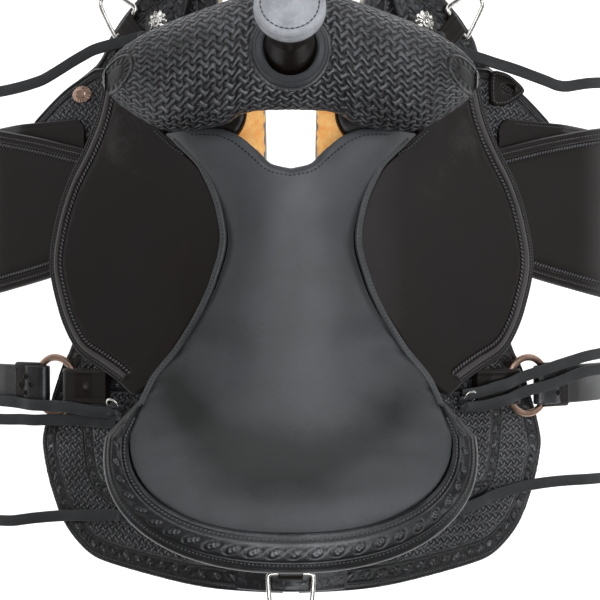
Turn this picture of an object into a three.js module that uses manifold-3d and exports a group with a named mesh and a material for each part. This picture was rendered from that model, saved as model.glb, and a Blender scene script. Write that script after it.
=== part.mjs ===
// Western saddle. Millimetres, +X is the rider's right, +Y points to the horn and the horse's head, +Z is up.
// The origin is on the ridge line that carries the saddle, under the rider, between the two tree bars.
// Everything beside the ridge is laid out on the horse's barrel: u runs down the side from the ridge, y runs
// forward, and h is the height above the barrel, square to it.
import * as THREE from 'three';
import { mergeVertices } from 'three/addons/utils/BufferGeometryUtils.js';
import Module from 'manifold-3d';

const wasm = await Module();
wasm.setup();

// ---------------------------------------------------------------- driving dimensions
const RIDGE_SLOPE = 8;
const BARREL = [
  { length: 90, bend: 28 },
  { length: 260, bend: 0 },
  { length: 150, bend: 44 },
  { length: 420, bend: 4 },
];
const REAR_RISE = { from: -60, over: 230, height: 18 };
const FRONT_RISE = { from: 230, over: 120, height: 10 };

const FLEECE = { low: 0, high: 15.4 };
const SKIRT = { low: 16.5, high: 21 };
const REAR_JOCKEY = { low: 21.6, high: 25.6 };
const RIGGING = { low: 21.6, high: 25 };
const LEATHERS = { low: 31.5, high: 35.5 };
const FENDER = { low: 36, high: 40.5 };
const FRONT_JOCKEY = { low: 26, high: 30 };
const SIDE_JOCKEY = { low: 45.5, high: 50.5 };
const BAR_INNER_HEIGHT = 28;
const BAR_OUTER_HEIGHT = 40;
const BAR_LOW = 22.4;

const FENDER_Y = 98;
const SWING_U = 135;
const LEATHER_HALF_WIDTH = 36;
const BOLT = { u: 722, h: 45, radius: 6, clearance: 0.6, length: 150 };
const STIRRUP = { drop: 118, topHalf: 58, bottomHalf: 68, wall: 13, depth: 50, above: 16 };

const SEAT_REAR_Y = -133;
const SEAT_REAR_DEPTH = 83;
const SEAT_REAR_HALF = 158;
const ROUND_POWER = 2.3;
const SEAT_THICKNESS = 19;
const SEAT_EDGE_THICKNESS = 7;
const ROLL_END_Y = -100;

const COVER_THICKNESS = 4;
const FORK_GAP = 2;
const HORN = { y: 232, z: 111, lean: 19, neckBase: 23, neck: 18, core: 13, neckLength: 62, capRadius: 32 };

const STRING_WIDTH = 12;
const STRING_THICKNESS = 3;
const STRING_STEPS = 16;
const RING = { u: 278, y: -92, h: 33.2, outer: 34, inner: 26.5, half: 2.8 };
const RING_PLAY = 0.8;
const BILLET = { halfWidth: 21, thickness: 3.4, length: 336, step: 24 };
const HOLDER_HALF_WIDTH = 19;
const DEE_WIRE = 2.6;
const BREAST_DEE = { u: 182, y: 288, h: 25.2 };
const CRUPPER_DEE = { y: -266, z: 42.5 };

const COLOURS = {
  leather: [0x17171a, 0.45, 0],
  padding: [0x2a2d30, 0.55, 0],
  rawhide: [0xc9b48a, 0.6, 0],
  russet: [0xc98a4a, 0.7, 0],
  fleece: [0xd8cfb8, 0.95, 0],
  nickel: [0xc8c8c4, 0.25, 1],
  copper: [0xb57d5a, 0.35, 1],
  wood: [0x6b4a2c, 0.6, 0],
};

// ---------------------------------------------------------------- small helpers
const radians = THREE.MathUtils.degToRad;
const mix = THREE.MathUtils.lerp;

// A smooth curve through (x, y) points that never overshoots them (monotone cubic).
function through(points) {
  const slope = points.slice(1).map(([x, y], i) => (y - points[i][1]) / (x - points[i][0]));
  const tangent = points.map((_, i) => {
    if (i === 0) return slope[0];
    if (i === slope.length) return slope[i - 1];
    return slope[i - 1] * slope[i] <= 0 ? 0 : (2 * slope[i - 1] * slope[i]) / (slope[i - 1] + slope[i]);
  });
  return (x) => {
    let i = points.findIndex((point) => point[0] > x) - 1;
    if (i === -2) i = points.length - 2;
    i = Math.max(0, i);
    const [x0, y0] = points[i];
    const [x1, y1] = points[i + 1];
    const width = x1 - x0;
    const t = THREE.MathUtils.clamp((x - x0) / width, 0, 1);
    const rise = (1 - t) * (1 - t);
    const fall = t * t;
    return rise * (1 + 2 * t) * y0 + fall * (3 - 2 * t) * y1
      + rise * t * width * tangent[i] - fall * (1 - t) * width * tangent[i + 1];
  };
}

// The barrel's outline: straight runs and arcs from the ridge down the side.
function barrel(u) {
  let angle = radians(RIDGE_SLOPE);
  let x = 0;
  let z = 0;
  let left = u;
  for (const { length, bend } of BARREL) {
    const run = Math.min(left, length);
    if (run <= 0) break;
    const curl = radians(bend) / length;
    const end = angle + curl * run;
    x += curl ? (Math.sin(end) - Math.sin(angle)) / curl : run * Math.cos(angle);
    z += curl ? (Math.cos(end) - Math.cos(angle)) / curl : -run * Math.sin(angle);
    angle = end;
    left -= run;
  }
  return { x, z, angle };
}

function rise(y) {
  const rear = Math.max(0, (REAR_RISE.from - y) / REAR_RISE.over);
  const front = Math.max(0, (y - FRONT_RISE.from) / FRONT_RISE.over);
  return REAR_RISE.height * rear * rear + FRONT_RISE.height * front * front;
}

function onBarrel(side, u, y, h) {
  const { x, z, angle } = barrel(u);
  return new THREE.Vector3(side * (x + h * Math.sin(angle)), y, z + h * Math.cos(angle) + rise(y));
}

// Turns a geometry's faces outward if its volume is negative.
function facingOut(geometry) {
  const p = geometry.attributes.position;
  const index = geometry.index;
  const a = new THREE.Vector3();
  const b = new THREE.Vector3();
  const c = new THREE.Vector3();
  let volume = 0;
  for (let i = 0; i < index.count; i += 3) {
    a.fromBufferAttribute(p, index.getX(i));
    b.fromBufferAttribute(p, index.getX(i + 1));
    c.fromBufferAttribute(p, index.getX(i + 2));
    volume += a.dot(b.cross(c));
  }
  if (volume < 0) index.array.reverse();
  return geometry;
}

function welded(geometry) {
  const plain = geometry.clone();
  plain.deleteAttribute('normal');
  plain.deleteAttribute('uv');
  return facingOut(mergeVertices(plain, 1e-3));
}

function fromTriangles(vertices, triangles) {
  const geometry = new THREE.BufferGeometry();
  const numbers = vertices.flatMap((v) => v.toArray());
  geometry.setAttribute('position', new THREE.Float32BufferAttribute(numbers, 3));
  geometry.setIndex(triangles.flat());
  return facingOut(geometry);
}

// A closed sheet between two surfaces given on the same grid: over(i, j) and under(i, j).
function sheet(rows, columns, over, under) {
  const vertices = [];
  const triangles = [];
  for (const surface of [over, under]) {
    for (let i = 0; i <= rows; i++) {
      for (let j = 0; j <= columns; j++) vertices.push(surface(i / rows, j / columns));
    }
  }
  const layer = (rows + 1) * (columns + 1);
  const at = (side, i, j) => side * layer + i * (columns + 1) + j;
  const quad = (a, b, c, d) => triangles.push([a, b, c], [a, c, d]);
  for (let i = 0; i < rows; i++) {
    for (let j = 0; j < columns; j++) {
      quad(at(0, i, j), at(0, i, j + 1), at(0, i + 1, j + 1), at(0, i + 1, j));
      quad(at(1, i, j), at(1, i + 1, j), at(1, i + 1, j + 1), at(1, i, j + 1));
    }
  }
  for (let j = 0; j < columns; j++) {
    quad(at(0, 0, j + 1), at(0, 0, j), at(1, 0, j), at(1, 0, j + 1));
    quad(at(0, rows, j), at(0, rows, j + 1), at(1, rows, j + 1), at(1, rows, j));
  }
  for (let i = 0; i < rows; i++) {
    quad(at(0, i, 0), at(0, i + 1, 0), at(1, i + 1, 0), at(1, i, 0));
    quad(at(0, i + 1, columns), at(0, i, columns), at(1, i, columns), at(1, i + 1, columns));
  }
  return fromTriangles(vertices, triangles);
}

// A closed body through rings of points, closed at both ends by a fan.
function loft(rings) {
  const sides = rings[0].length;
  const vertices = rings.flat();
  const triangles = [];
  for (let i = 0; i + 1 < rings.length; i++) {
    for (let j = 0; j < sides; j++) {
      const k = (j + 1) % sides;
      triangles.push([i * sides + j, i * sides + k, (i + 1) * sides + k]);
      triangles.push([i * sides + j, (i + 1) * sides + k, (i + 1) * sides + j]);
    }
  }
  for (const [ring, turned] of [[0, true], [rings.length - 1, false]]) {
    const centre = vertices.length;
    const middle = new THREE.Vector3();
    rings[ring].forEach((point) => middle.addScaledVector(point, 1 / sides));
    vertices.push(middle);
    for (let j = 0; j < sides; j++) {
      const a = ring * sides + j;
      const b = ring * sides + ((j + 1) % sides);
      triangles.push(turned ? [b, a, centre] : [a, b, centre]);
    }
  }
  return fromTriangles(vertices, triangles);
}

function solid(geometry) {
  const plain = welded(geometry);
  return new wasm.Manifold(new wasm.Mesh({
    numProp: 3,
    vertProperties: new Float32Array(plain.attributes.position.array),
    triVerts: new Uint32Array(plain.index.array),
  }));
}

function cut(geometry, ...tools) {
  let body = solid(geometry);
  for (const tool of tools) body = body.subtract(solid(tool));
  const { vertProperties, triVerts } = body.getMesh();
  const result = new THREE.BufferGeometry();
  result.setAttribute('position', new THREE.BufferAttribute(new Float32Array(vertProperties), 3));
  result.setIndex(new THREE.BufferAttribute(new Uint32Array(triVerts), 1));
  return result;
}

// A panel of leather on one side of the barrel, row by row along y.
function panelAlongY(side, { from, to, rows, columns, inner, outer, low, high }) {
  const point = (h) => (i, j) => {
    const y = mix(from, to, i);
    return onBarrel(side, mix(inner(y), outer(y), j), y, typeof h === 'function' ? h(y, j) : h);
  };
  return sheet(rows, columns, point(high), point(low));
}

// A strap that runs down the side: stations are places along u, half gives its half width there.
function strapDown(side, { stations, centre, half, low, high, columns = 2 }) {
  const rows = stations.length - 1;
  const point = (h) => (i, j) => {
    const u = stations[Math.round(i * rows)];
    const height = typeof h === 'function' ? h(u) : h;
    return onBarrel(side, u, centre + mix(-1, 1, j) * half(u), height);
  };
  return sheet(rows, columns, point(high), point(low));
}

// A frame of axes on the barrel: first along y, second down the slope, third square to it.
function barrelFrame(side, u, y, h) {
  const { angle } = barrel(u);
  const down = new THREE.Vector3(side * Math.cos(angle), 0, -Math.sin(angle));
  const out = new THREE.Vector3(side * Math.sin(angle), 0, Math.cos(angle));
  const frame = new THREE.Matrix4().makeBasis(new THREE.Vector3(0, 1, 0), down, out);
  return frame.setPosition(onBarrel(side, u, y, h));
}

const root = new THREE.Group();

function material(kind) {
  const [color, roughness, metalness] = COLOURS[kind];
  return new THREE.MeshStandardMaterial({ color, roughness, metalness });
}

function add(name, geometry, kind) {
  const mesh = new THREE.Mesh(welded(geometry), material(kind));
  mesh.name = name;
  root.add(mesh);
  return mesh;
}

const SIDES = [['left', -1], ['right', 1]];

// ---------------------------------------------------------------- skirts and fleece
const skirtInner = through([
  [-286, 5], [-242, 5], [-212, 17], [-190, 22.5], [190, 22.5], [285, 66], [350, 74],
]);
const skirtOuter = through([
  [-286, 90], [-281, 160], [-273, 224], [-239, 277], [-200, 299], [-159, 311], [-100, 316], [0, 320],
  [98, 324],
  [176, 327], [192, 326], [203, 314], [227, 277], [250, 232], [263, 219], [275, 213], [287, 202], [300, 188],
  [320, 160], [338, 126], [350, 92],
]);

function addSkirts() {
  for (const [word, side] of SIDES) {
    const span = { from: -286, to: 350, rows: 20, columns: 5 };
    const edges = { inner: skirtInner, outer: skirtOuter };
    add(`skirt_${word}`, panelAlongY(side, { ...span, ...SKIRT, ...edges }), 'leather');
    const inner = (y) => skirtInner(y) + 2;
    const outer = (y) => skirtOuter(y) - 3;
    add(`fleece_${word}`, panelAlongY(side, { ...span, ...FLEECE, inner, outer }), 'fleece');
  }
}

// ---------------------------------------------------------------- tree
const barInner = through([[-190, 22], [190, 20.5], [285, 62]]);
const barOuter = through([[-190, 88], [0, 92], [200, 92], [285, 98]]);

function addBars() {
  for (const [word, side] of SIDES) {
    const top = (y, j) => mix(BAR_INNER_HEIGHT, BAR_OUTER_HEIGHT, j);
    const shape = { from: -190, to: 285, rows: 8, columns: 3, inner: barInner, outer: barOuter };
    add(`tree_bar_${word}`, panelAlongY(side, { ...shape, low: BAR_LOW, high: top }), 'rawhide');
  }
}

// The fork's outline at each |x|: top, underside, rear edge and front edge.
const forkTop = through([[0, 117], [45, 113], [90, 102], [130, 88], [160, 70], [176, 54], [183, 47]]);
const forkUnder = through([
  [0, 68], [30, 63], [55, 42], [74, 14], [108, 4], [140, 16], [160, 28], [176, 37], [183, 41],
]);
const forkRear = through([
  [0, 179], [30, 178.5], [46, 176], [60, 169], [88, 165], [113, 163.5], [126, 166], [144, 175], [162, 187],
  [176, 199], [183, 209],
]);
const forkFront = through([[0, 288], [60, 284], [95, 275], [134, 260], [160, 245], [176, 231], [183, 219]]);
const FORK_STATIONS = [
  -183, -176, -164, -148, -130, -108, -88, -70, -52, -28, 0, 28, 52, 70, 88, 108, 130, 148, 164, 176, 183,
];
const GULLET_OPEN = radians(62);
const FORK_SIDES = 16;

function forkPoint(x, angle, inset) {
  const reach = Math.abs(x);
  const half = (forkFront(reach) - forkRear(reach)) / 2 - inset;
  const height = (forkTop(reach) - forkUnder(reach)) / 2 - inset;
  const y = (forkFront(reach) + forkRear(reach)) / 2 + half * Math.cos(angle);
  const z = (forkTop(reach) + forkUnder(reach)) / 2;
  const bulge = Math.sign(Math.sin(angle)) * Math.abs(Math.sin(angle)) ** 0.9;
  return new THREE.Vector3(x, y, z + height * bulge);
}

function forkBody(inset, reach) {
  const stations = FORK_STATIONS.filter((x) => Math.abs(x) <= reach);
  const turn = Array.from({ length: FORK_SIDES }, (_, i) => (i / FORK_SIDES) * 2 * Math.PI);
  return loft(stations.map((x) => turn.map((angle) => forkPoint(x, angle, inset))));
}

function addFork() {
  const station = (i) => FORK_STATIONS[Math.round(i * (FORK_STATIONS.length - 1))];
  const angle = (j) => mix(-GULLET_OPEN, Math.PI + GULLET_OPEN, j);
  const skin = (inset) => (i, j) => forkPoint(station(i), angle(j), inset);
  const cover = sheet(FORK_STATIONS.length - 1, 12, skin(0), skin(COVER_THICKNESS));
  const hole = new THREE.CylinderGeometry(HORN.core + 1, HORN.core + 1, 60, 16);
  hole.rotateX(Math.PI / 2 - radians(HORN.lean));
  hole.translate(0, HORN.y, HORN.z);
  add('swell_cover', cut(cover, hole), 'leather');
  add('tree_fork', forkBody(COVER_THICKNESS + FORK_GAP, 170), 'rawhide');
}

// A lathe profile of (radius, height) pairs, turned about the horn's leaning axis.
function hornTurn(profile, lean = HORN.lean) {
  const geometry = new THREE.LatheGeometry(profile.map(([r, z]) => new THREE.Vector2(r, z)), 20);
  geometry.rotateX(Math.PI / 2 - radians(lean));
  geometry.translate(0, HORN.y, HORN.z);
  return geometry;
}

function addHorn() {
  const { core, neck, neckBase, neckLength, capRadius } = HORN;
  const forkSolid = forkBody(-1.2, 183);
  const stem = hornTurn([[0, -20], [core, -20], [core, neckLength + 8], [0, neckLength + 8]]);
  add('horn_core', cut(stem, forkBody(COVER_THICKNESS + FORK_GAP - 0.4, 170)), 'nickel');
  const inside = core + 0.5;
  const wrap = hornTurn([
    [inside, -6], [neckBase + 2, -6], [neckBase, 14], [neck, 34], [neck + 2, neckLength],
    [inside, neckLength],
    [inside, -6],
  ]);
  add('horn_wrap', cut(wrap, forkSolid), 'leather');
  const top = neckLength + 26;
  const cap = hornTurn([
    [0, neckLength + 1], [neck + 4, neckLength + 1], [capRadius - 3, neckLength + 6],
    [capRadius, neckLength + 12],
    [capRadius, neckLength + 17], [capRadius - 4, top - 3], [capRadius - 9, top], [0, top],
  ]);
  const socketRadius = core + 0.5;
  const socketTop = neckLength + 9;
  const seatOfCore = [[0, neckLength], [socketRadius, neckLength], [socketRadius, socketTop], [0, socketTop]];
  add('horn_cap', cut(cap, hornTurn(seatOfCore)), 'leather');
  const collar = hornTurn([
    [neckBase + 3.5, -8], [37, -8], [38, 0], [35, 9], [30, 12], [neckBase + 3.5, 11], [neckBase + 3.5, -8],
  ], 0);
  const socket = hornTurn([[0, -30], [neckBase + 2.6, -30], [neckBase + 2.6, 30], [0, 30]]);
  add('horn_collar', cut(collar, forkSolid, socket), 'leather');
}

// The russet leather that lines the bars beside the hand hole.
function addGulletLining() {
  for (const [word, side] of SIDES) {
    const height = (y, j) => mix(BAR_INNER_HEIGHT, mix(BAR_INNER_HEIGHT, BAR_OUTER_HEIGHT, 0.5), j) + 0.8;
    const low = (y, j) => height(y, j) + 1;
    const high = (y, j) => height(y, j) + 3.4;
    const shape = { from: 112, to: 204, rows: 4, columns: 3, inner: () => 20, outer: () => 54 };
    add(`gullet_lining_${word}`, panelAlongY(side, { ...shape, low, high }), 'russet');
  }
}

// ---------------------------------------------------------------- seat and cantle
const seatHalf = through([
  [-133, 158], [-83, 140], [-48, 113], [-12, 90], [19, 76], [60, 66], [88, 70], [131, 88], [150, 105],
  [167, 125],
]);
const seatFront = through([
  [0, 128], [0.2, 132], [0.34, 146], [0.46, 159], [0.58, 165], [0.8, 166], [1, 165],
]);
const seatCentre = through([
  [-216, 116], [-195, 92], [-165, 69], [-120, 55], [-60, 50], [0, 51], [60, 57], [128, 70],
]);
const seatEdge = through([
  [-216, 114], [-175, 78], [-133, 40], [-100, 13], [-83, 5], [-48, 10], [-12, 28], [19, 35], [63, 38],
  [88, 37],
  [131, 28], [150, 17], [167, 2],
]);
const rounded = (f) => (1 - Math.abs(f) ** ROUND_POWER) ** (1 / ROUND_POWER);

function seatPoint(f, t, inset) {
  const y = mix(SEAT_REAR_Y - SEAT_REAR_DEPTH * rounded(f) + inset, seatFront(Math.abs(f)) - inset, t);
  const half = y < SEAT_REAR_Y ? SEAT_REAR_HALF : seatHalf(y);
  const drop = Math.abs(f) ** 2.4;
  return new THREE.Vector3(f * (half - inset), y, mix(seatCentre(y), seatEdge(y), drop));
}

// Columns crowd towards the seat's sides, where its edge turns fastest.
const acrossSeat = (j) => Math.sin((j - 0.5) * Math.PI);

function seatLayer(inset, depth) {
  return (i, j) => {
    const f = acrossSeat(j) * 0.995;
    const point = seatPoint(f, i, inset);
    const edge = Math.max(Math.abs(f) ** 3, Math.abs(2 * i - 1) ** 8);
    point.z -= depth * mix(SEAT_THICKNESS, SEAT_EDGE_THICKNESS, edge);
    return point;
  };
}

function addSeat() {
  add('seat', sheet(14, 12, seatLayer(1.5, 0), seatLayer(1.5, 1)), 'padding');
  const strainer = (offset) => (i, j) => {
    const f = mix(-0.44, 0.44, j);
    const point = seatPoint(f, mix(0.1, 0.93, i), 0);
    const width = THREE.MathUtils.clamp(point.x, -70, 70);
    return new THREE.Vector3(width, point.y, point.z - SEAT_THICKNESS - 1.8 - offset);
  };
  add('ground_seat', sheet(10, 6, strainer(0), strainer(2.4)), 'leather');
}

// The cantle's rim follows the seat's rear edge; its base is a smaller curve on the bars.
const ROLL_TURNS = 20;
const rollEnd = (ROLL_END_Y - SEAT_REAR_Y) / SEAT_REAR_DEPTH;

function rimPoint(a, outward) {
  const f = Math.sin(a * Math.PI / 2);
  const g = Math.cos(a * Math.PI / 2);
  const power = 2 / ROUND_POWER;
  const x = Math.sign(f) * (SEAT_REAR_HALF + outward) * Math.abs(f) ** power;
  const y = SEAT_REAR_Y - (SEAT_REAR_DEPTH + outward) * g ** power;
  return new THREE.Vector3(x, y, mix(40, 114, g ** power));
}

function basePoint(a) {
  const f = Math.sin(a * Math.PI / 2);
  const g = Math.cos(a * Math.PI / 2);
  const power = 2 / ROUND_POWER;
  const x = Math.sign(f) * 120 * Math.abs(f) ** power;
  return new THREE.Vector3(x, -130 - 76 * g ** power, mix(-14, 46, g ** power));
}

// Beyond the curve's ends the roll carries on forward and down to its knots.
function rollPath(t) {
  const a = THREE.MathUtils.clamp(t, -1, 1);
  const past = Math.max(0, Math.abs(t) - 1);
  return { a, past, forward: past * SEAT_REAR_DEPTH, sink: past * 75 };
}

function rollRing(t) {
  const { a, past, forward, sink } = rollPath(t);
  const width = mix(mix(37, 22, Math.abs(a) ** 1.5), 7, past / rollEnd);
  const section = [
    [0.04, 1], [0.2, 5], [0.45, 7], [0.7, 5], [0.9, 0], [1, -6], [0.97, -12], [0.85, -15], [0.6, -12],
    [0.3, -9],
    [0.05, -6],
  ];
  return section.map(([part, lift]) => {
    const point = rimPoint(a, 1.2 + part * width);
    point.x -= Math.sign(t) * 11 * (past / rollEnd);
    point.y += forward;
    point.z += lift - sink;
    return point;
  });
}

function cantleSheet(rows, vLow, vHigh, near, far, reach) {
  const wall = (offset) => (i, j) => {
    const a = mix(-reach, reach, i);
    const rim = rimPoint(a, 17);
    const base = basePoint(a);
    const v = mix(vLow, vHigh, j);
    rim.z -= 12;
    const point = base.clone().lerp(rim, v);
    const inward = new THREE.Vector3(rim.x, rim.y - SEAT_REAR_Y - 20, 0).normalize();
    return point.addScaledVector(inward, offset - 5 * Math.sin(v * Math.PI));
  };
  return sheet(rows, 4, wall(far), wall(near));
}

function addCantle() {
  const reach = 1 + rollEnd;
  const stops = Array.from({ length: ROLL_TURNS + 1 }, (_, i) => mix(-reach, reach, i / ROLL_TURNS));
  add('cantle_roll', loft(stops.map(rollRing)), 'leather');
  add('cantle_board', cantleSheet(16, 0.03, 0.9, -12, -3, 0.9), 'rawhide');
  add('cantle_back', cantleSheet(18, 0, 0.93, -2.4, 1.2, 0.97), 'leather');
}

// ---------------------------------------------------------------- jockeys
const jockeyInner = through([
  [-96, 146], [-84, 128], [-50, 96], [-12, 71], [19, 57], [62, 50], [88, 53], [132, 71], [167, 108],
  [200, 112],
  [247, 130],
]);
const jockeyOuter = through([
  [-96, 154], [-84, 172], [-72, 196], [-58, 225], [-39, 243], [-11, 258], [36, 271], [82, 263],
  [124, 245], [160, 220],
  [190, 203], [225, 192], [247, 184],
]);

function addJockeys() {
  for (const [word, side] of SIDES) {
    const top = { from: -96, to: 247, rows: 18, columns: 4, inner: jockeyInner, outer: jockeyOuter };
    add(`side_jockey_${word}`, panelAlongY(side, { ...top, ...SIDE_JOCKEY }), 'leather');
    const rear = {
      from: -216, to: -78, rows: 8, columns: 4,
      inner: through([[-216, 104], [-190, 124], [-78, 132]]),
      outer: through([[-216, 176], [-207, 222], [-190, 238], [-130, 248], [-78, 252]]),
    };
    add(`rear_jockey_${word}`, panelAlongY(side, { ...rear, ...REAR_JOCKEY }), 'leather');
    const front = {
      from: 206, to: 328, rows: 8, columns: 4,
      inner: through([[206, 122], [270, 104], [328, 84]]),
      outer: through([[206, 196], [250, 203], [268, 189], [289, 163], [300, 144], [316, 114], [328, 98]]),
    };
    add(`front_jockey_${word}`, panelAlongY(side, { ...front, ...FRONT_JOCKEY }), 'leather');
  }
}

// ---------------------------------------------------------------- fenders, stirrup leathers and stirrups
const fenderHalf = through([
  [150, 48], [220, 60], [290, 76], [345, 87], [400, 97], [450, 100], [520, 92], [585, 58], [610, 40],
  [645, 36],
]);
const steps = (from, to, by) =>
  Array.from({ length: Math.round((to - from) / by) + 1 }, (_, i) => from + i * by);

function addFenders() {
  for (const [word, side] of SIDES) {
    const stations = [...steps(150, 330, 45), 345, ...steps(350, 500, 25), 530, 560, 585, 610, 645];
    const blade = { stations, centre: FENDER_Y, half: fenderHalf, columns: 4 };
    add(`fender_${word}`, strapDown(side, { ...blade, ...FENDER }), 'leather');
  }
}

// The stirrup leather hangs from its swing point, goes round the bolt and comes back up outside.
function leatherPath() {
  const middle = (LEATHERS.low + LEATHERS.high) / 2;
  const radius = BOLT.h - middle;
  const stops = [100.5, 106, 118, SWING_U, 240, 345, ...steps(350, 500, 25), 560, 620, 680];
  const down = stops.map((u) => [u, middle]);
  const round = steps(-90, 90, 30).map((degrees) => {
    const turn = radians(degrees);
    return [BOLT.u + radius * Math.cos(turn), BOLT.h + radius * Math.sin(turn)];
  });
  return [...down, ...round, [690, BOLT.h + radius], [662, BOLT.h + radius]];
}

function leatherHalfWidth(u) {
  const above = Math.max(0, SWING_U - u);
  return Math.sqrt(LEATHER_HALF_WIDTH ** 2 - above ** 2);
}

function addStirrupLeathers() {
  const path = leatherPath();
  const half = (LEATHERS.high - LEATHERS.low) / 2;
  for (const [word, side] of SIDES) {
    const face = (offset) => (i, j) => {
      const k = Math.round(i * (path.length - 1));
      const before = path[Math.max(0, k - 1)];
      const after = path[Math.min(path.length - 1, k + 1)];
      const run = Math.hypot(after[0] - before[0], after[1] - before[1]);
      const u = path[k][0] - offset * (after[1] - before[1]) / run;
      const h = path[k][1] + offset * (after[0] - before[0]) / run;
      return onBarrel(side, u, FENDER_Y + mix(-1, 1, j) * leatherHalfWidth(path[k][0]), h);
    };
    add(`stirrup_leather_${word}`, sheet(path.length - 1, 2, face(half), face(-half)), 'leather');
  }
}

function rectangle(halfWidth, low, high) {
  const corners = [[-halfWidth, low], [halfWidth, low], [halfWidth, high], [-halfWidth, high]];
  return corners.map((p) => new THREE.Vector2(...p));
}

function addHobbles() {
  for (const [word, side] of SIDES) {
    const band = new THREE.Shape(rectangle(46, LEATHERS.low - 4.2 - BOLT.h, FENDER.high + 4.2 - BOLT.h));
    band.holes.push(new THREE.Path(rectangle(42.5, LEATHERS.low - 1 - BOLT.h, FENDER.high + 1 - BOLT.h)));
    const geometry = new THREE.ExtrudeGeometry(band, { depth: 24, bevelEnabled: false });
    const down = new THREE.Matrix4().makeBasis(
      new THREE.Vector3(1, 0, 0), new THREE.Vector3(0, 0, 1), new THREE.Vector3(0, 1, 0),
    );
    geometry.applyMatrix4(down);
    geometry.applyMatrix4(barrelFrame(side, 616, FENDER_Y, BOLT.h));
    add(`hobble_strap_${word}`, geometry, 'leather');
  }
}

function stirrupOutline(inset) {
  const { drop, topHalf, bottomHalf, above } = STIRRUP;
  const corner = 26;
  const shape = new THREE.Shape();
  const floor = drop - inset;
  shape.moveTo(-(topHalf - inset), -above);
  shape.lineTo(-(bottomHalf - inset), floor - corner);
  shape.quadraticCurveTo(-(bottomHalf - inset), floor, -(bottomHalf - inset) + corner, floor);
  shape.lineTo(bottomHalf - inset - corner, floor);
  shape.quadraticCurveTo(bottomHalf - inset, floor, bottomHalf - inset, floor - corner);
  shape.lineTo(topHalf - inset, -above);
  return shape.getPoints(5);
}

function addStirrups() {
  const { wall, depth } = STIRRUP;
  for (const [word, side] of SIDES) {
    const shape = new THREE.Shape([...stirrupOutline(0), ...stirrupOutline(wall).reverse()]);
    const bow = new THREE.ExtrudeGeometry(shape, { depth, bevelEnabled: false });
    bow.translate(0, 0, -depth / 2);
    const boreRadius = BOLT.radius + BOLT.clearance;
    const bore = new THREE.CylinderGeometry(boreRadius, boreRadius, 200, 16);
    bore.rotateZ(Math.PI / 2);
    const hang = new THREE.Matrix4().makeBasis(
      new THREE.Vector3(0, 1, 0), new THREE.Vector3(0, 0, -1), new THREE.Vector3(side, 0, 0),
    );
    const place = hang.setPosition(onBarrel(side, BOLT.u, FENDER_Y, BOLT.h));
    add(`stirrup_${word}`, cut(bow, bore).applyMatrix4(place), 'wood');
    const pin = new THREE.CylinderGeometry(BOLT.radius, BOLT.radius, BOLT.length, 16);
    pin.rotateZ(Math.PI / 2);
    add(`stirrup_bolt_${word}`, pin.applyMatrix4(place), 'nickel');
  }
}

// ---------------------------------------------------------------- rigging
function addRigging() {
  for (const [word, side] of SIDES) {
    const plate = {
      from: 132, to: 246, rows: 8, columns: 4,
      inner: () => 150,
      outer: (y) => skirtOuter(y) - 3,
    };
    add(`rigging_plate_${word}`, panelAlongY(side, { ...plate, ...RIGGING }), 'leather');
    const stations = [240, 285, 330, 350, 375, 400, 450, 500, 560, 620];
    const hang = { stations, centre: 172, half: () => 22 };
    const low = through([[240, 26], [330, 26], [375, 16], [450, 6], [620, 4]]);
    const name = side < 0 ? 'latigo_left' : 'off_billet_right';
    add(name, strapDown(side, { ...hang, low, high: (u) => low(u) + 3.6 }), 'leather');
    addRearRigging(word, side);
  }
}

// A strap folded through the ring: two plies with the ring's wire between them, stitched together beyond it.
// way is 1 for the billet below the ring and -1 for the holder above it.
function foldedStrap(side, way, halfWidth, runs) {
  const { u, y, h, inner, outer, half } = RING;
  const { thickness } = BILLET;
  const gap = half + RING_PLAY;
  const fold = Math.sqrt(inner ** 2 - halfWidth ** 2) - 2 * RING_PLAY;
  const join = outer + 14;
  const stations = [fold - thickness, outer, join + 6, ...runs];
  const sink = through([[340, 0], [400, -8], [520, -22], [900, -24]]);
  const face = (sign) => (i, j) => {
    const run = stations[Math.round(i * (stations.length - 1))];
    const away = run > outer ? thickness : gap + thickness;
    const down = u + way * run;
    return onBarrel(side, down, y + mix(-1, 1, j) * halfWidth, h + sign * away + sink(down));
  };
  const room = [[fold, -gap], [fold, gap], [outer + 1, gap], [join, 0], [outer + 1, -gap]];
  const shape = new THREE.Shape(room.map((p) => new THREE.Vector2(...p)));
  const wire = new THREE.ExtrudeGeometry(shape, { depth: 2 * halfWidth + 2, bevelEnabled: false });
  wire.translate(0, 0, -halfWidth - 1);
  wire.applyMatrix4(new THREE.Matrix4().makeBasis(
    new THREE.Vector3(0, way, 0), new THREE.Vector3(0, 0, 1), new THREE.Vector3(1, 0, 0),
  ));
  return cut(sheet(stations.length - 1, 2, face(1), face(-1)), wire.applyMatrix4(barrelFrame(side, u, y, h)));
}

function addRearRigging(word, side) {
  const { u, y, h, outer, inner, half } = RING;
  const hoop = new THREE.LatheGeometry([
    [inner, -half], [outer, -half], [outer, half], [inner, half], [inner, -half],
  ].map((p) => new THREE.Vector2(...p)), 28);
  hoop.rotateX(Math.PI / 2);
  add(`rear_ring_${word}`, hoop.applyMatrix4(barrelFrame(side, u, y, h)), 'copper');
  add(`rear_rigging_strap_${word}`, foldedStrap(side, -1, HOLDER_HALF_WIDTH, [64, 84]), 'leather');
  const { halfWidth, length, step } = BILLET;
  add(`rear_billet_${word}`, foldedStrap(side, 1, halfWidth, steps(72, length, step)), 'leather');
}

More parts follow.
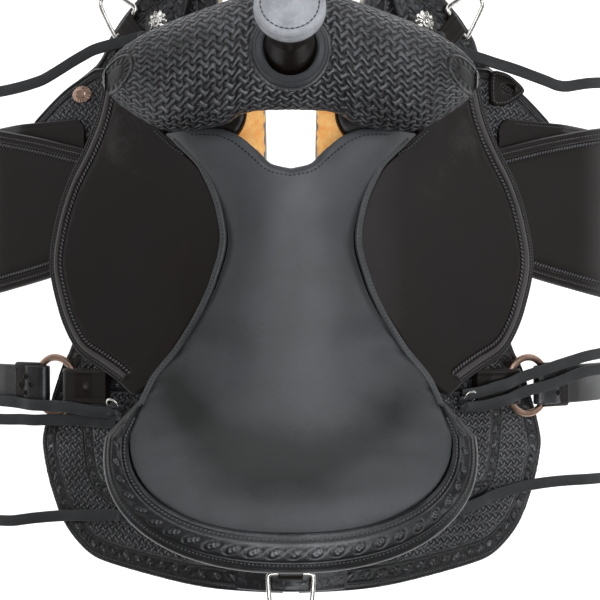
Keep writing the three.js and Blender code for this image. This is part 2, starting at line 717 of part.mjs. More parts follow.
// A dee is a closed wire bow; points are (along the bar, away from it) pairs round its middle line.
function dee(points) {
  const corners = points.map(([along, away]) => new THREE.Vector3(along, away, 0));
  const path = new THREE.CatmullRomCurve3(corners, true, 'catmullrom', 0.3);
  const section = new THREE.Shape();
  section.absarc(0, 0, DEE_WIRE, 0, 2 * Math.PI);
  return new THREE.ExtrudeGeometry(section, { curveSegments: 3, steps: 20, extrudePath: path });
}

function addDees() {
  for (const [word, side] of SIDES) {
    const bow = dee([[-16, 0], [16, 0], [19, 6], [10, 42], [0, 46], [-10, 42], [-19, 6]]);
    bow.rotateZ(-Math.PI / 4);
    const { u, y, h } = BREAST_DEE;
    add(`breast_dee_${word}`, bow.applyMatrix4(barrelFrame(side, u, y, h)), 'nickel');
  }
  const crupper = dee([[-19, 0], [19, 0], [22, 6], [18, 38], [0, 46], [-18, 38], [-22, 6]]);
  crupper.rotateX(Math.PI);
  crupper.translate(0, CRUPPER_DEE.y, CRUPPER_DEE.z);
  add('crupper_dee', crupper, 'nickel');
}

// ---------------------------------------------------------------- trim
function addTrim() {
  const keeper = new THREE.Shape();
  keeper.moveTo(-22, -16);
  keeper.quadraticCurveTo(4, -24, 26, 0);
  keeper.quadraticCurveTo(6, 24, -22, 15);
  const slot = new THREE.Path();
  slot.absellipse(2, 0, 11, 5, 0, 2 * Math.PI);
  keeper.holes.push(slot);
  const leaf = new THREE.ExtrudeGeometry(keeper, { depth: 4, bevelEnabled: false, curveSegments: 6 });
  const across = new THREE.Matrix4().makeBasis(
    new THREE.Vector3(0, 1, 0), new THREE.Vector3(1, 0, 0), new THREE.Vector3(0, 0, 1),
  );
  leaf.applyMatrix4(across).applyMatrix4(barrelFrame(1, 252, 226, RIGGING.high + 0.4));
  add('latigo_keeper', leaf, 'leather');
  const badge = new THREE.CylinderGeometry(13, 14, 3, 24);
  badge.rotateX(Math.PI / 2);
  badge.scale(1, 0.62, 1);
  add('oval_concho', badge.applyMatrix4(barrelFrame(-1, 246, 220, RIGGING.high + 2)), 'copper');
  for (const [word, side] of SIDES) {
    const star = new THREE.CylinderGeometry(9, 16, 5, 24);
    star.rotateX(Math.PI / 2);
    star.applyMatrix4(barrelFrame(side, 132, 283, FRONT_JOCKEY.high + 4.5));
    add(`star_concho_${word}`, star, 'nickel');
  }
}

// ---------------------------------------------------------------- saddle strings
// Each string's route from its knot, as (u, y, h) points on the barrel.
const STRINGS = {
  string_front_left: [
    [146, 270, 36], [158, 269, 37], [171, 267, 38.5], [192, 265, 40.5], [213, 262, 42], [228, 257, 43.5],
    [243, 251, 45.5], [262, 243, 47.5], [281, 236, 49], [297, 233, 49.5], [313, 231, 49.5], [340, 229, 49],
    [380, 228, 48], [430, 228, 47], [480, 227, 46.5], [530, 227, 46], [578, 226, 45.5],
  ],
  string_front_right: [
    [146, 261, 36], [160, 259, 37], [175, 257, 38.5], [190, 254, 40], [204, 252, 41], [218, 249, 43.5],
    [247, 244, 46.5], [270, 239, 49], [291, 235, 49.5], [306, 232, 49.5], [321, 232, 49.5], [342, 236, 49],
    [364, 240, 48.5], [392, 243, 47.5], [430, 244, 47], [480, 244, 46.5], [530, 244, 46], [572, 243, 45.5],
  ],
  string_mid_left_a: [
    [186, -116, 34], [195, -117, 37.5], [206, -117, 40], [220, -116, 43.5], [238, -114, 45], [254, -113, 47],
    [270, -113, 47], [286, -113, 48], [302, -113, 48], [320, -112, 45], [340, -111, 45], [375, -111, 43],
    [415, -112, 42], [460, -112, 40], [510, -113, 38], [560, -113, 36],
  ],
  string_mid_left_b: [
    [190, -128, 32.5], [200, -128, 33], [212, -128, 34], [225, -128, 34], [240, -127, 36], [256, -128, 38],
    [272, -128, 39], [288, -129, 40], [304, -130, 41], [322, -130, 41], [342, -131, 41], [378, -132, 40],
    [420, -132, 38], [465, -132, 36], [510, -132, 34], [548, -132, 33],
  ],
  string_mid_right_a: [
    [183, -98, 35], [191, -97, 41], [203, -95, 44], [219, -91, 46.5], [235, -88, 48], [250, -84, 46.5],
    [265, -80, 47], [286, -76, 47], [308, -71, 47], [334, -66, 46], [360, -61, 46], [390, -58, 45],
    [425, -57, 43], [470, -56, 41], [515, -56, 39], [556, -56, 37],
  ],
  string_mid_right_b: [
    [184, -112, 35], [193, -111, 41], [205, -110, 44], [220, -107, 46.5], [236, -104, 48], [250, -100, 47],
    [266, -96, 47.5], [287, -93, 47.5], [308, -89, 47.5], [334, -83, 46], [360, -78, 46], [390, -76, 45],
    [425, -75, 43], [470, -74, 41], [510, -74, 39], [545, -74, 37],
  ],
  string_rear_left: [
    [174, -222, 31], [186, -223, 30], [199, -224, 29.5], [221, -226, 29.5], [243, -228, 29.5],
    [272, -231, 29],
    [308, -236, 31], [326, -239, 32], [345, -242, 33], [380, -244, 34], [420, -245, 34], [470, -246, 33],
    [520, -246, 32], [566, -246, 31],
  ],
  string_rear_right: [
    [171, -218, 31.5], [184, -216, 31.5], [197, -214, 31], [212, -211, 30.5], [226, -207, 29.5],
    [244, -204, 29],
    [263, -201, 29], [288, -199, 30], [314, -198, 31], [342, -198, 32], [372, -199, 33], [410, -200, 34],
    [460, -201, 33], [510, -201, 32], [556, -201, 31],
  ],
};

function addStrings() {
  const long = STRING_WIDTH / 2;
  const short = STRING_THICKNESS / 2;
  const corners = [[1, 0.5], [0.8, 1], [-0.8, 1], [-1, 0.5], [-1, -0.5], [-0.8, -1], [0.8, -1], [1, -0.5]];
  const section = new THREE.Shape(corners.map(([a, b]) => new THREE.Vector2(b * short, a * long)));
  for (const [name, points] of Object.entries(STRINGS)) {
    const side = name.includes('left') ? -1 : 1;
    const path = new THREE.CatmullRomCurve3(points.map((p) => onBarrel(side, ...p)));
    add(name, new THREE.ExtrudeGeometry(section, { steps: STRING_STEPS, extrudePath: path }), 'leather');
  }
}

addSkirts();
addBars();
addFork();
addHorn();
addGulletLining();
addSeat();
addCantle();
addJockeys();
addFenders();
addStirrupLeathers();
addHobbles();
addStirrups();
addRigging();
addDees();
addTrim();
addStrings();

export default root;
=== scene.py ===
import math

import bmesh
import bpy
import numpy as np
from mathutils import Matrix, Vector
from mathutils.bvhtree import BVHTree
from mathutils.geometry import delaunay_2d_cdt


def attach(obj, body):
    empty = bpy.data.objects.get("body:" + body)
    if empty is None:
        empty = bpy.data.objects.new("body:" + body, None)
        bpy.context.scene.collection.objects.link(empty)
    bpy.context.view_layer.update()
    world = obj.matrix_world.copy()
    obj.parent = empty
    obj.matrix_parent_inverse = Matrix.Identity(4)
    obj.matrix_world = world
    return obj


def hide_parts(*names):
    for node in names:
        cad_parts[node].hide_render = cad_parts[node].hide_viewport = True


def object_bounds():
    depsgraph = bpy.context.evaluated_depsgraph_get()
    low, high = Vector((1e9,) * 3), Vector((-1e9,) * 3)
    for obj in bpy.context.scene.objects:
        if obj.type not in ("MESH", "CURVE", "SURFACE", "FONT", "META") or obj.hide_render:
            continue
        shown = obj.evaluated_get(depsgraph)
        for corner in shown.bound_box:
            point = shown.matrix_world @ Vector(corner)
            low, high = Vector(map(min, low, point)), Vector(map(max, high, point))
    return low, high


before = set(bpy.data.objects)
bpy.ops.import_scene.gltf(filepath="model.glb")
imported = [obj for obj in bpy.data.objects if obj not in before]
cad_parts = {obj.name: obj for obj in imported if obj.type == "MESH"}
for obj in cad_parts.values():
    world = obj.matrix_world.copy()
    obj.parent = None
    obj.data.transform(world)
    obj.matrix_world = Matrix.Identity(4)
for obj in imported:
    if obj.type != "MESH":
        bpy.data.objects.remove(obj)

# Western saddle. Lengths in this script are millimetres and turn into metres as each mesh is made.
# u runs down the saddle's side from the ridge, y runs forward, and h is the height above the barrel.
CAD_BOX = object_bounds()
MM = 0.001
SIDES = (("left", -1), ("right", 1))
BODY = "saddle"

# ---------------------------------------------------------------- the frame's shapes, as in the CAD
RIDGE_SLOPE = math.radians(8)
BARREL = ((90, 28), (260, 0), (150, 44), (420, 4))
SEAT_REAR_Y = -133.0
SEAT_REAR_DEPTH = 83.0
SEAT_REAR_HALF = 158.0
ROUND_POWER = 2.3
ROLL_END_Y = -100.0
HORN = {"y": 232.0, "z": 111.0, "lean": 19.0, "neck": 18.0, "base": 23.0, "length": 62.0, "cap": 32.0}
FENDER_Y = 98.0
BOLT_U, BOLT_H = 722.0, 45.0
RING = {"u": 278.0, "y": -92.0, "h": 33.2, "outer": 34.0, "inner": 26.5, "half": 2.8}


def through(points):
    """A smooth curve through (x, y) points that never overshoots them, over arrays."""
    xs, ys = (np.array(c, float) for c in zip(*points))
    slope = np.diff(ys) / np.diff(xs)
    tangent = np.empty(len(xs))
    tangent[0], tangent[-1] = slope[0], slope[-1]
    for i in range(1, len(slope)):
        p, q = slope[i - 1], slope[i]
        tangent[i] = 0 if p * q <= 0 else 2 * p * q / (p + q)

    def f(x):
        x = np.asarray(x, float)
        i = np.clip(np.searchsorted(xs, x, side="right") - 1, 0, len(slope) - 1)
        w = xs[i + 1] - xs[i]
        t = np.clip((x - xs[i]) / w, 0, 1)
        r, s = (1 - t) ** 2, t * t
        return (r * (1 + 2 * t) * ys[i] + s * (3 - 2 * t) * ys[i + 1]
                + r * t * w * tangent[i] - s * (1 - t) * w * tangent[i + 1])

    return f


def barrel(u):
    """Where the barrel's surface is at u: across, up, and how steeply it falls there."""
    u = np.asarray(u, float)
    angle = np.full(u.shape, RIDGE_SLOPE)
    x = np.zeros(u.shape)
    z = np.zeros(u.shape)
    left = u.copy()
    for length, bend in BARREL:
        run = np.clip(left, 0, length)
        curl = math.radians(bend) / length
        end = angle + curl * run
        if curl:
            x += (np.sin(end) - np.sin(angle)) / curl
            z += (np.cos(end) - np.cos(angle)) / curl
        else:
            x += run * np.cos(angle)
            z -= run * np.sin(angle)
        angle = end
        left = left - run
    return x, z, angle


def rise(y):
    """How much the barrel lifts toward the loin and the withers."""
    rear = np.maximum(0, (-60 - y) / 230.0)
    front = np.maximum(0, (y - 230) / 120.0)
    return 18 * rear ** 2 + 10 * front ** 2


def on(side, u, y, h):
    """The point h above the barrel at (u, y), side is -1 for left and 1 for right."""
    u, y, h = (np.asarray(v, float) for v in np.broadcast_arrays(u, y, h))
    x, z, angle = barrel(u)
    return np.stack([side * (x + h * np.sin(angle)), y, z + h * np.cos(angle) + rise(y)], -1)


# ---------------------------------------------------------------- outlines and their filling
def closed(points, spacing):
    """A closed outline through points, smooth but for the points that carry a third value, its corners."""
    p = np.array([q[:2] for q in points], float)
    sharp = [len(q) > 2 for q in points]
    n = len(p)
    out = []
    for i in range(n):
        a, b, c, d = p[i - 1], p[i], p[(i + 1) % n], p[(i + 2) % n]
        m0 = (c - b) if sharp[i] else (c - a) / 2
        m1 = (c - b) if sharp[(i + 1) % n] else (d - b) / 2
        reach = np.linalg.norm(c - b)
        m0 = m0 * min(1, reach / max(1e-9, np.linalg.norm(m0)))
        m1 = m1 * min(1, reach / max(1e-9, np.linalg.norm(m1)))
        k = max(1, int(round(reach / spacing)))
        t = (np.arange(k) / k)[:, None]
        out.append((2 * t**3 - 3 * t**2 + 1) * b + (t**3 - 2 * t**2 + t) * m0
                   + (-2 * t**3 + 3 * t**2) * c + (t**3 - t**2) * m1)
    return np.concatenate(out)


def to_outline(points, poly):
    """Each point's distance to a closed outline and the place along the outline where it is nearest."""
    a, b = poly, np.roll(poly, -1, 0)
    ab = b - a
    l2 = np.maximum((ab ** 2).sum(1), 1e-12)
    start = np.concatenate([[0], np.cumsum(np.sqrt(l2))[:-1]])
    dist = np.empty(len(points))
    arc = np.empty(len(points))
    for i in range(0, len(points), 2000):
        ap = points[i:i + 2000, None] - a[None]
        t = np.clip((ap * ab).sum(2) / l2, 0, 1)
        d2 = ((ap - t[..., None] * ab) ** 2).sum(2)
        k = d2.argmin(1)
        row = np.arange(len(k))
        dist[i:i + 2000] = np.sqrt(d2[row, k])
        arc[i:i + 2000] = start[k] + t[row, k] * np.sqrt(l2[k])
    return dist, arc


def within(points, poly):
    """Which of the points lie inside a closed outline."""
    x, y = points[:, 0], points[:, 1]
    inside = np.zeros(len(points), bool)
    for (x0, y0), (x1, y1) in zip(poly, np.roll(poly, -1, 0)):
        if y0 == y1:
            continue
        hit = ((y0 > y) != (y1 > y)) & (x < (x1 - x0) * (y - y0) / (y1 - y0) + x0)
        inside ^= hit
    return inside


def offset(poly, d):
    """The outline moved inwards by d, without the stretches that would cross."""
    ahead, behind = np.roll(poly, -1, 0), np.roll(poly, 1, 0)
    t = ahead - behind
    t /= np.maximum(np.linalg.norm(t, axis=1), 1e-9)[:, None]
    normal = np.stack([-t[:, 1], t[:, 0]], 1)
    turn = (poly[:, 0] * ahead[:, 1] - ahead[:, 0] * poly[:, 1]).sum()
    moved = poly + normal * (d if turn > 0 else -d)
    keep = (to_outline(moved, poly)[0] > d - 0.25) & within(moved, poly)
    return moved[keep]


def even(path, spacing, loop=True):
    """Points at an even spacing along a path, with the path's direction at each."""
    p = np.concatenate([path, path[:1]]) if loop else path
    step = np.linalg.norm(np.diff(p, axis=0), axis=1)
    arc = np.concatenate([[0], np.cumsum(step)])
    count = max(1, int(round(arc[-1] / spacing)))
    at = np.arange(count) * arc[-1] / count if loop else np.linspace(0, arc[-1], count + 1)
    q = np.stack([np.interp(at, arc, p[:, k]) for k in range(p.shape[1])], 1)
    e = np.stack([np.interp(np.minimum(at + 1, arc[-1]), arc, p[:, k]) for k in range(p.shape[1])], 1)
    s = np.stack([np.interp(np.maximum(at - 1, 0), arc, p[:, k]) for k in range(p.shape[1])], 1)
    t = e - s
    return q, t / np.maximum(np.linalg.norm(t, axis=1), 1e-9)[:, None]


def fill(poly, spacing, rings=(), fine=None, holes=()):
    """Triangles that fill an outline, with rows of points along the rings, and its distances and arc."""
    loops = [poly, *holes]
    points = [np.concatenate(loops)]
    for d in rings:
        ring = offset(poly, d)
        if len(ring):
            points.append(ring)
    low, high = poly.min(0), poly.max(0)
    grids = [(spacing, None)] if fine is None else [(spacing, False), (fine[0], True)]
    for step, inner in grids:
        gx, gy = np.meshgrid(np.arange(low[0], high[0], step), np.arange(low[1], high[1], step))
        gx[1::2] += step / 2
        g = np.stack([gx.ravel(), gy.ravel()], 1)
        if inner is not None:
            g = g[fine[1](g[:, 0], g[:, 1]) == inner]
        g = g[within(g, poly)]
        if not len(g):
            continue
        d = to_outline(g, poly)[0]
        ok = d > 0.55 * step
        for r in rings:
            ok &= abs(d - r) > 0.42 * step
        for hole in holes:
            ok &= ~within(g, hole) & (to_outline(g, hole)[0] > 0.5 * step)
        points.append(g[ok])
    p = np.concatenate(points)
    edges, base = [], 0
    for loop in loops:
        n = len(loop)
        edges += [(base + i, base + (i + 1) % n) for i in range(n)]
        base += n
    found = delaunay_2d_cdt([Vector(q) for q in p], edges, [], 1, 1e-4)
    p = np.array([v[:] for v in found[0]])
    tris = np.array(found[2])
    if holes:
        centre = p[tris].mean(1)
        gone = np.zeros(len(tris), bool)
        for hole in holes:
            gone |= within(centre, hole)
        tris = tris[~gone]
    d, arc = to_outline(p, poly)
    for hole in holes:
        d = np.minimum(d, to_outline(p, hole)[0])
    return p, tris, d, arc


def rim_edges(tris):
    """The directed edges on the border of a set of triangles."""
    e = np.concatenate([tris[:, [0, 1]], tris[:, [1, 2]], tris[:, [2, 0]]])
    key = {}
    for a, b in e.tolist():
        if (b, a) in key:
            del key[(b, a)]
        else:
            key[(a, b)] = 1
    return list(key)


# ---------------------------------------------------------------- turning points into pieces
class Parts:
    """Points, faces, materials and relief values gathered for one piece, in millimetres."""

    def __init__(self):
        self.v, self.f, self.m, self.r, self.t, self.n = [], [], [], [], [], 0

    def add(self, verts, faces, mat=0, relief=0.0, tool=None):
        verts = np.asarray(verts, float)
        self.v.append(verts)
        self.t.append(np.zeros((len(verts), 3)) if tool is None else tool)
        self.r.append(np.broadcast_to(relief, (len(verts),)).astype(float))
        self.f += [[i + self.n for i in f] for f in (faces.tolist() if hasattr(faces, "tolist") else faces)]
        self.m += [mat] * len(faces)
        self.n += len(verts)
        return self


def piece(name, parts, mats, body=BODY, replaces=(), sharp=50):
    mesh = bpy.data.meshes.new(name)
    v = np.concatenate(parts.v) * MM
    mesh.from_pydata(v.tolist(), [], parts.f)
    mesh.polygons.foreach_set("material_index", parts.m)
    relief = mesh.attributes.new("relief", "FLOAT", "POINT")
    relief.data.foreach_set("value", np.concatenate(parts.r).astype(np.float32))
    tool = mesh.attributes.new("tool", "FLOAT_VECTOR", "POINT")
    tool.data.foreach_set("vector", np.concatenate(parts.t).astype(np.float32).ravel())
    bm = bmesh.new()
    bm.from_mesh(mesh)
    bmesh.ops.recalc_face_normals(bm, faces=bm.faces)
    bm.to_mesh(mesh)
    bm.free()
    mesh.polygons.foreach_set("use_smooth", [True] * len(mesh.polygons))
    mesh.set_sharp_from_angle(angle=math.radians(sharp))
    for m in mats:
        mesh.materials.append(m)
    obj = bpy.data.objects.new(name, mesh)
    bpy.context.scene.collection.objects.link(obj)
    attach(obj, body)
    if replaces:
        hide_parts(*([replaces] if isinstance(replaces, str) else replaces))
    return obj


def panel(parts, place, filled, low, high, relief=None, edge=1.4, mat=0, weave=None):
    """A sheet of leather over a filled outline: place(a, b, h) puts it in space, relief raises its face."""
    p, tris, d, arc = filled
    a, b = p[:, 0], p[:, 1]
    lift = relief(a, b, d, arc) if relief else np.zeros(len(p))
    lift = lift * np.clip(d / 2.0, 0, 1)
    near = np.clip(edge - d, 0, edge)
    tool = strands(a, b, *weave[:2], weave[2](a, b, d)) if weave else np.zeros((len(p), 3))
    top = (high(a, b) if callable(high) else high) + lift + stamping(tool) - (edge
            - np.sqrt(edge**2 - near**2))
    under = low(a, b) if callable(low) else np.full(len(p), float(low))
    border = rim_edges(tris)
    used = sorted({i for e in border for i in e})
    at = {v: len(p) + k for k, v in enumerate(used)}
    parts.add(np.concatenate([place(a, b, top), place(a[used], b[used], under[used])]),
              tris.tolist() + [[j, i, at[i], at[j]] for i, j in border], mat,
              np.concatenate([lift, np.full(len(used), -0.3)]),
              np.concatenate([tool, tool[used] * [1, 1, 0]]))
    # the underside needs no fine points
    loop = parts.n - len(used)
    flat = [Vector(q) for q in p[used]]
    local = {v: k for k, v in enumerate(used)}
    found = delaunay_2d_cdt(flat, [(local[i], local[j]) for i, j in border], [], 1, 1e-6)
    parts.f += [[loop + found[3][i][0] for i in f] for f in found[2]]
    parts.m += [mat] * len(found[2])
    return parts


def stitches(parts, place, path, direction, h, pitch_length=(3.2, 1.1), slant=0.0, mat=1, tall=0.55):
    """Threads laid along a path, each one a small pointed capsule."""
    length, width = pitch_length
    turn = math.radians(slant)
    c, s = math.cos(turn), math.sin(turn)
    along = np.stack([direction[:, 0] * c - direction[:, 1] * s,
                      direction[:, 0] * s + direction[:, 1] * c], 1)
    across = np.stack([-along[:, 1], along[:, 0]], 1)
    sections = [(-0.5, 0.0), (-0.36, 0.8), (0.0, 1.0), (0.36, 0.8), (0.5, 0.0)]
    ring = [(math.cos(k * math.pi / 3), math.sin(k * math.pi / 3)) for k in range(6)]
    height = np.broadcast_to(h, (len(path),))
    verts, faces = [], []
    index = np.arange(len(path)) * 20
    for t, size in sections:
        for cx, cz in (ring if size else [(0, 0)]):
            q = path + along * (t * length) + across * (cx * size * width / 2)
            verts.append(place(q[:, 0], q[:, 1], height + cz * size * tall))
    rows = [[0], list(range(1, 7)), list(range(7, 13)), list(range(13, 19)), [19]]
    pattern = []
    for near, far in zip(rows, rows[1:]):
        for k in range(6):
            if len(near) == 1:
                pattern.append([near[0], far[k], far[(k + 1) % 6]])
            elif len(far) == 1:
                pattern.append([near[(k + 1) % 6], near[k], far[0]])
            else:
                pattern.append([near[k], far[k], far[(k + 1) % 6], near[(k + 1) % 6]])
    for i in index:
        faces += [[i + k for k in f] for f in pattern]
    return parts.add(np.stack(verts, 1).reshape(-1, 3), faces, mat)


# ---------------------------------------------------------------- tooling, as heights in millimetres
def strands(a, b, width, squash, mask):
    """Where a point lies in the basket stamping, in strand widths, and how deep it is stamped."""
    return np.stack([a / width, b * squash / width, np.broadcast_to(mask, a.shape)], 1)


def stamping(tool, deep=1.1):
    """The basket stamping's height where strands() says, as in the tooled leather's material."""
    q = tool[:, 1] + 0.4 * np.sin(tool[:, 0] * math.pi)
    along = 2 * (((tool[:, 0] + np.floor(q) + 1) / 2) % 1) - 1
    across = 2 * (q % 1) - 1
    return deep * tool[:, 2] * (np.sqrt(np.maximum(0, 1 - across**2)) * (1 - 0.95 * np.abs(along) ** 3)
                                - 0.55)


def groove(d, at, width=1.0, deep=0.6):
    return -deep * np.exp(-(((d - at) / width) ** 2))


def bead(d, at, width=1.3, tall=0.6):
    return tall * np.exp(-(((d - at) / width) ** 2))


def leaves(s, d, centre, half, period, lift=0.7):
    """A row of veined leaf stamps along a band, each one tilted and sunk at its edge."""
    t = (2 * (s / period - np.floor(s / period)) - 1) * period / 2 / half
    w = (d - centre) / half
    long, wide = 0.91 * t - 0.42 * w, 0.91 * w + 0.42 * t
    r = np.hypot(long / 1.1, wide / (0.52 - 0.12 * long))
    veins = 0.5 + 0.5 * np.cos(11 * long - 7 * np.abs(wide))
    body = np.clip((0.84 - r) / 0.25, 0, 1) * veins
    rim = np.exp(-(((r - 1.02) / 0.15) ** 2))
    return lift * (0.85 * body - 0.75 * rim - 0.5 * np.exp(-((wide / 0.08) ** 2)) * (r < 0.8))


def step(x, at, soft=1.0):
    return np.clip((x - at) / soft + 0.5, 0, 1)


# ---------------------------------------------------------------- materials
def nodes_of(name):
    m = bpy.data.materials.new(name)
    m.use_nodes = True
    tree = m.node_tree
    return m, tree.nodes, tree.links, tree.nodes["Principled BSDF"]


def ramp(nodes, links, source, stops):
    r = nodes.new("ShaderNodeValToRGB")
    while len(r.color_ramp.elements) < len(stops):
        r.color_ramp.elements.new(0.5)
    for e, (at, colour) in zip(r.color_ramp.elements, stops):
        e.position = at
        e.color = (*colour, 1)
    links.new(source, r.inputs["Fac"])
    return r


def noise(nodes, links, scale, detail=4.0, rough=0.55, stretch=None):
    co = nodes.new("ShaderNodeTexCoord")
    out = co.outputs["Object"]
    if stretch:
        mapping = nodes.new("ShaderNodeMapping")
        mapping.inputs["Scale"].default_value = stretch
        links.new(out, mapping.inputs["Vector"])
        out = mapping.outputs["Vector"]
    n = nodes.new("ShaderNodeTexNoise")
    n.inputs["Scale"].default_value = scale
    n.inputs["Detail"].default_value = detail
    n.inputs["Roughness"].default_value = rough
    links.new(out, n.inputs["Vector"])
    return n


def cells(nodes, links, scale, feature="F1"):
    co = nodes.new("ShaderNodeTexCoord")
    v = nodes.new("ShaderNodeTexVoronoi")
    v.feature = feature
    v.inputs["Scale"].default_value = scale
    links.new(co.outputs["Object"], v.inputs["Vector"])
    return v


def math_node(nodes, links, op, a, b=None, clamp=False):
    n = nodes.new("ShaderNodeMath")
    n.operation = op
    n.use_clamp = clamp
    for k, x in enumerate((a, b)):
        if x is None:
            continue
        if isinstance(x, (int, float)):
            n.inputs[k].default_value = x
        else:
            links.new(x, n.inputs[k])
    return n.outputs[0]


def bumped(nodes, links, bsdf, height, strength, distance):
    b = nodes.new("ShaderNodeBump")
    b.inputs["Strength"].default_value = strength
    b.inputs["Distance"].default_value = distance
    links.new(height, b.inputs["Height"])
    links.new(b.outputs["Normal"], bsdf.inputs["Normal"])
    return b


def weave_height(nodes, links):
    """Basket stamping's height, rows of short strands each half a strand on, and where it is stamped."""
    place = nodes.new("ShaderNodeAttribute")
    place.attribute_name = "tool"
    split = nodes.new("ShaderNodeSeparateXYZ")
    links.new(place.outputs["Vector"], split.inputs[0])
    do = lambda op, a, b=None: math_node(nodes, links, op, a, b)
    p = split.outputs["X"]
    q = do("ADD", split.outputs["Y"], do("MULTIPLY", do("SINE", do("MULTIPLY", p, math.pi)), 0.4))
    half_on = do("MULTIPLY", do("ADD", do("ADD", p, do("FLOOR", q)), 1.0), 0.5)
    along = do("SUBTRACT", do("MULTIPLY", do("FRACT", half_on), 2.0), 1.0)
    across = do("SUBTRACT", do("MULTIPLY", do("FRACT", q), 2.0), 1.0)
    round_off = do("SQRT", do("MAXIMUM", do("SUBTRACT", 1.0, do("MULTIPLY", across, across)), 0.0))
    ends = do("SUBTRACT", 1.0, do("MULTIPLY", do("POWER", do("ABSOLUTE", along), 3.0), 0.95))
    return do("MULTIPLY", round_off, ends), split.outputs["Z"]


def leather(name, low, mid, high, rough=(0.35, 0.5), grain=900.0, bump=0.25, gain=0.45, cloud=14.0,
            coat=0.0,
            stamped=0.0, shine=0.5, stops=(0.12, 0.5, 0.92)):
    """Leather: pores and creases in the bump, stain that pools in the tooling, and raised tops painted
    lighter, partly worn and partly a painted highlight.
    """
    m, nodes, links, bsdf = nodes_of(name)
    relief = nodes.new("ShaderNodeAttribute")
    relief.attribute_name = "relief"
    broad = noise(nodes, links, cloud, 5.0, 0.6)
    fine = noise(nodes, links, grain * 0.35, 3.0)
    # relief darkens the hollows from pooled stain and lightens the raised tops, partly wear and partly a
    # painted highlight
    lifted = math_node(nodes, links, "MULTIPLY", relief.outputs["Fac"], gain)
    base = math_node(nodes, links, "ADD", lifted, broad.outputs["Fac"])
    if stamped:
        weave, mask = weave_height(nodes, links)
        # the stamped strands' tops painted lighter and their gaps darker: pooled stain and wear, with a
        # painted highlight on the tops
        worn = math_node(nodes, links, "MULTIPLY", math_node(nodes, links, "SUBTRACT", weave, 0.55), mask)
        base = math_node(nodes, links, "ADD", base, math_node(nodes, links, "MULTIPLY", worn, 0.7))
    mixed = math_node(nodes, links, "ADD", base, math_node(nodes, links, "MULTIPLY", fine.outputs["Fac"],
                                                           0.22))
    tone = math_node(nodes, links, "SUBTRACT", mixed, 0.11, clamp=True)
    colour = ramp(nodes, links, tone, list(zip(stops, (low, mid, high))))
    links.new(colour.outputs["Color"], bsdf.inputs["Base Color"])
    gloss = nodes.new("ShaderNodeMapRange")
    gloss.inputs["From Min"].default_value = 0.3
    gloss.inputs["From Max"].default_value = 0.75
    gloss.inputs["To Min"].default_value = rough[1]
    gloss.inputs["To Max"].default_value = rough[0]
    links.new(base, gloss.inputs["Value"])
    links.new(gloss.outputs["Result"], bsdf.inputs["Roughness"])
    pores = cells(nodes, links, grain)
    creases = cells(nodes, links, grain * 0.45, "DISTANCE_TO_EDGE")
    height = math_node(nodes, links, "ADD",
                       math_node(nodes, links, "MULTIPLY", pores.outputs["Distance"], 0.5),
                       math_node(nodes, links, "MULTIPLY", creases.outputs["Distance"], 0.8))
    grained = bumped(nodes, links, bsdf, height, bump, 0.0006)
    if stamped:
        stamp = nodes.new("ShaderNodeBump")
        stamp.inputs["Distance"].default_value = stamped * MM
        links.new(math_node(nodes, links, "MULTIPLY", weave, mask), stamp.inputs["Height"])
        links.new(stamp.outputs["Normal"], grained.inputs["Normal"])
    bsdf.inputs["Specular IOR Level"].default_value = shine
    if coat:
        bsdf.inputs["Coat Weight"].default_value = coat
        bsdf.inputs["Coat Roughness"].default_value = 0.22
    return m


def metal(name, colour, worn, rough=0.22):
    m, nodes, links, bsdf = nodes_of(name)
    n = noise(nodes, links, 60.0, 6.0, 0.65)
    r = ramp(nodes, links, n.outputs["Fac"], [(0.32, worn), (0.62, colour)])
    links.new(r.outputs["Color"], bsdf.inputs["Base Color"])
    bsdf.inputs["Metallic"].default_value = 1.0
    fine = noise(nodes, links, 420.0, 4.0, 0.6, (1, 1, 0.2))
    gloss = nodes.new("ShaderNodeMapRange")
    gloss.inputs["To Min"].default_value = rough * 0.6
    gloss.inputs["To Max"].default_value = rough * 1.7
    links.new(fine.outputs["Fac"], gloss.inputs["Value"])
    links.new(gloss.outputs["Result"], bsdf.inputs["Roughness"])
    bumped(nodes, links, bsdf, fine.outputs["Fac"], 0.08, 0.0003)
    return m


def rough_hide(name, low, high, rough=0.85, scale=90.0, bump=0.5, painted_bounce_glow=0.0):
    m, nodes, links, bsdf = nodes_of(name)
    n = noise(nodes, links, scale, 8.0, 0.7)
    r = ramp(nodes, links, n.outputs["Fac"], [(0.3, low), (0.68, high)])
    links.new(r.outputs["Color"], bsdf.inputs["Base Color"])
    bsdf.inputs["Roughness"].default_value = rough
    # the hide glows in its own colour: painted light, standing in for light bounced into the gullet's shade
    links.new(r.outputs["Color"], bsdf.inputs["Emission Color"])
    bsdf.inputs["Emission Strength"].default_value = painted_bounce_glow
    fine = noise(nodes, links, scale * 9, 4.0, 0.7)
    bumped(nodes, links, bsdf, fine.outputs["Fac"], bump, 0.0008)
    return m


def wool(name):
    m, nodes, links, bsdf = nodes_of(name)
    curls = cells(nodes, links, 230.0)
    soft = noise(nodes, links, 40.0, 6.0, 0.7)
    both = math_node(nodes, links, "MULTIPLY", curls.outputs["Distance"], soft.outputs["Fac"])
    r = ramp(nodes, links, both, [(0.05, (0.5, 0.42, 0.3)), (0.3, (0.78, 0.71, 0.58)),
                                  (0.6, (0.86, 0.81, 0.7))])
    links.new(r.outputs["Color"], bsdf.inputs["Base Color"])
    bsdf.inputs["Roughness"].default_value = 0.95
    bsdf.inputs["Sheen Weight"].default_value = 0.5
    bsdf.inputs["Sheen Roughness"].default_value = 0.5
    strands = noise(nodes, links, 700.0, 4.0, 0.7)
    bumped(nodes, links, bsdf, math_node(nodes, links, "ADD", curls.outputs["Distance"],
                                         strands.outputs["Fac"]), 0.9, 0.002)
    return m


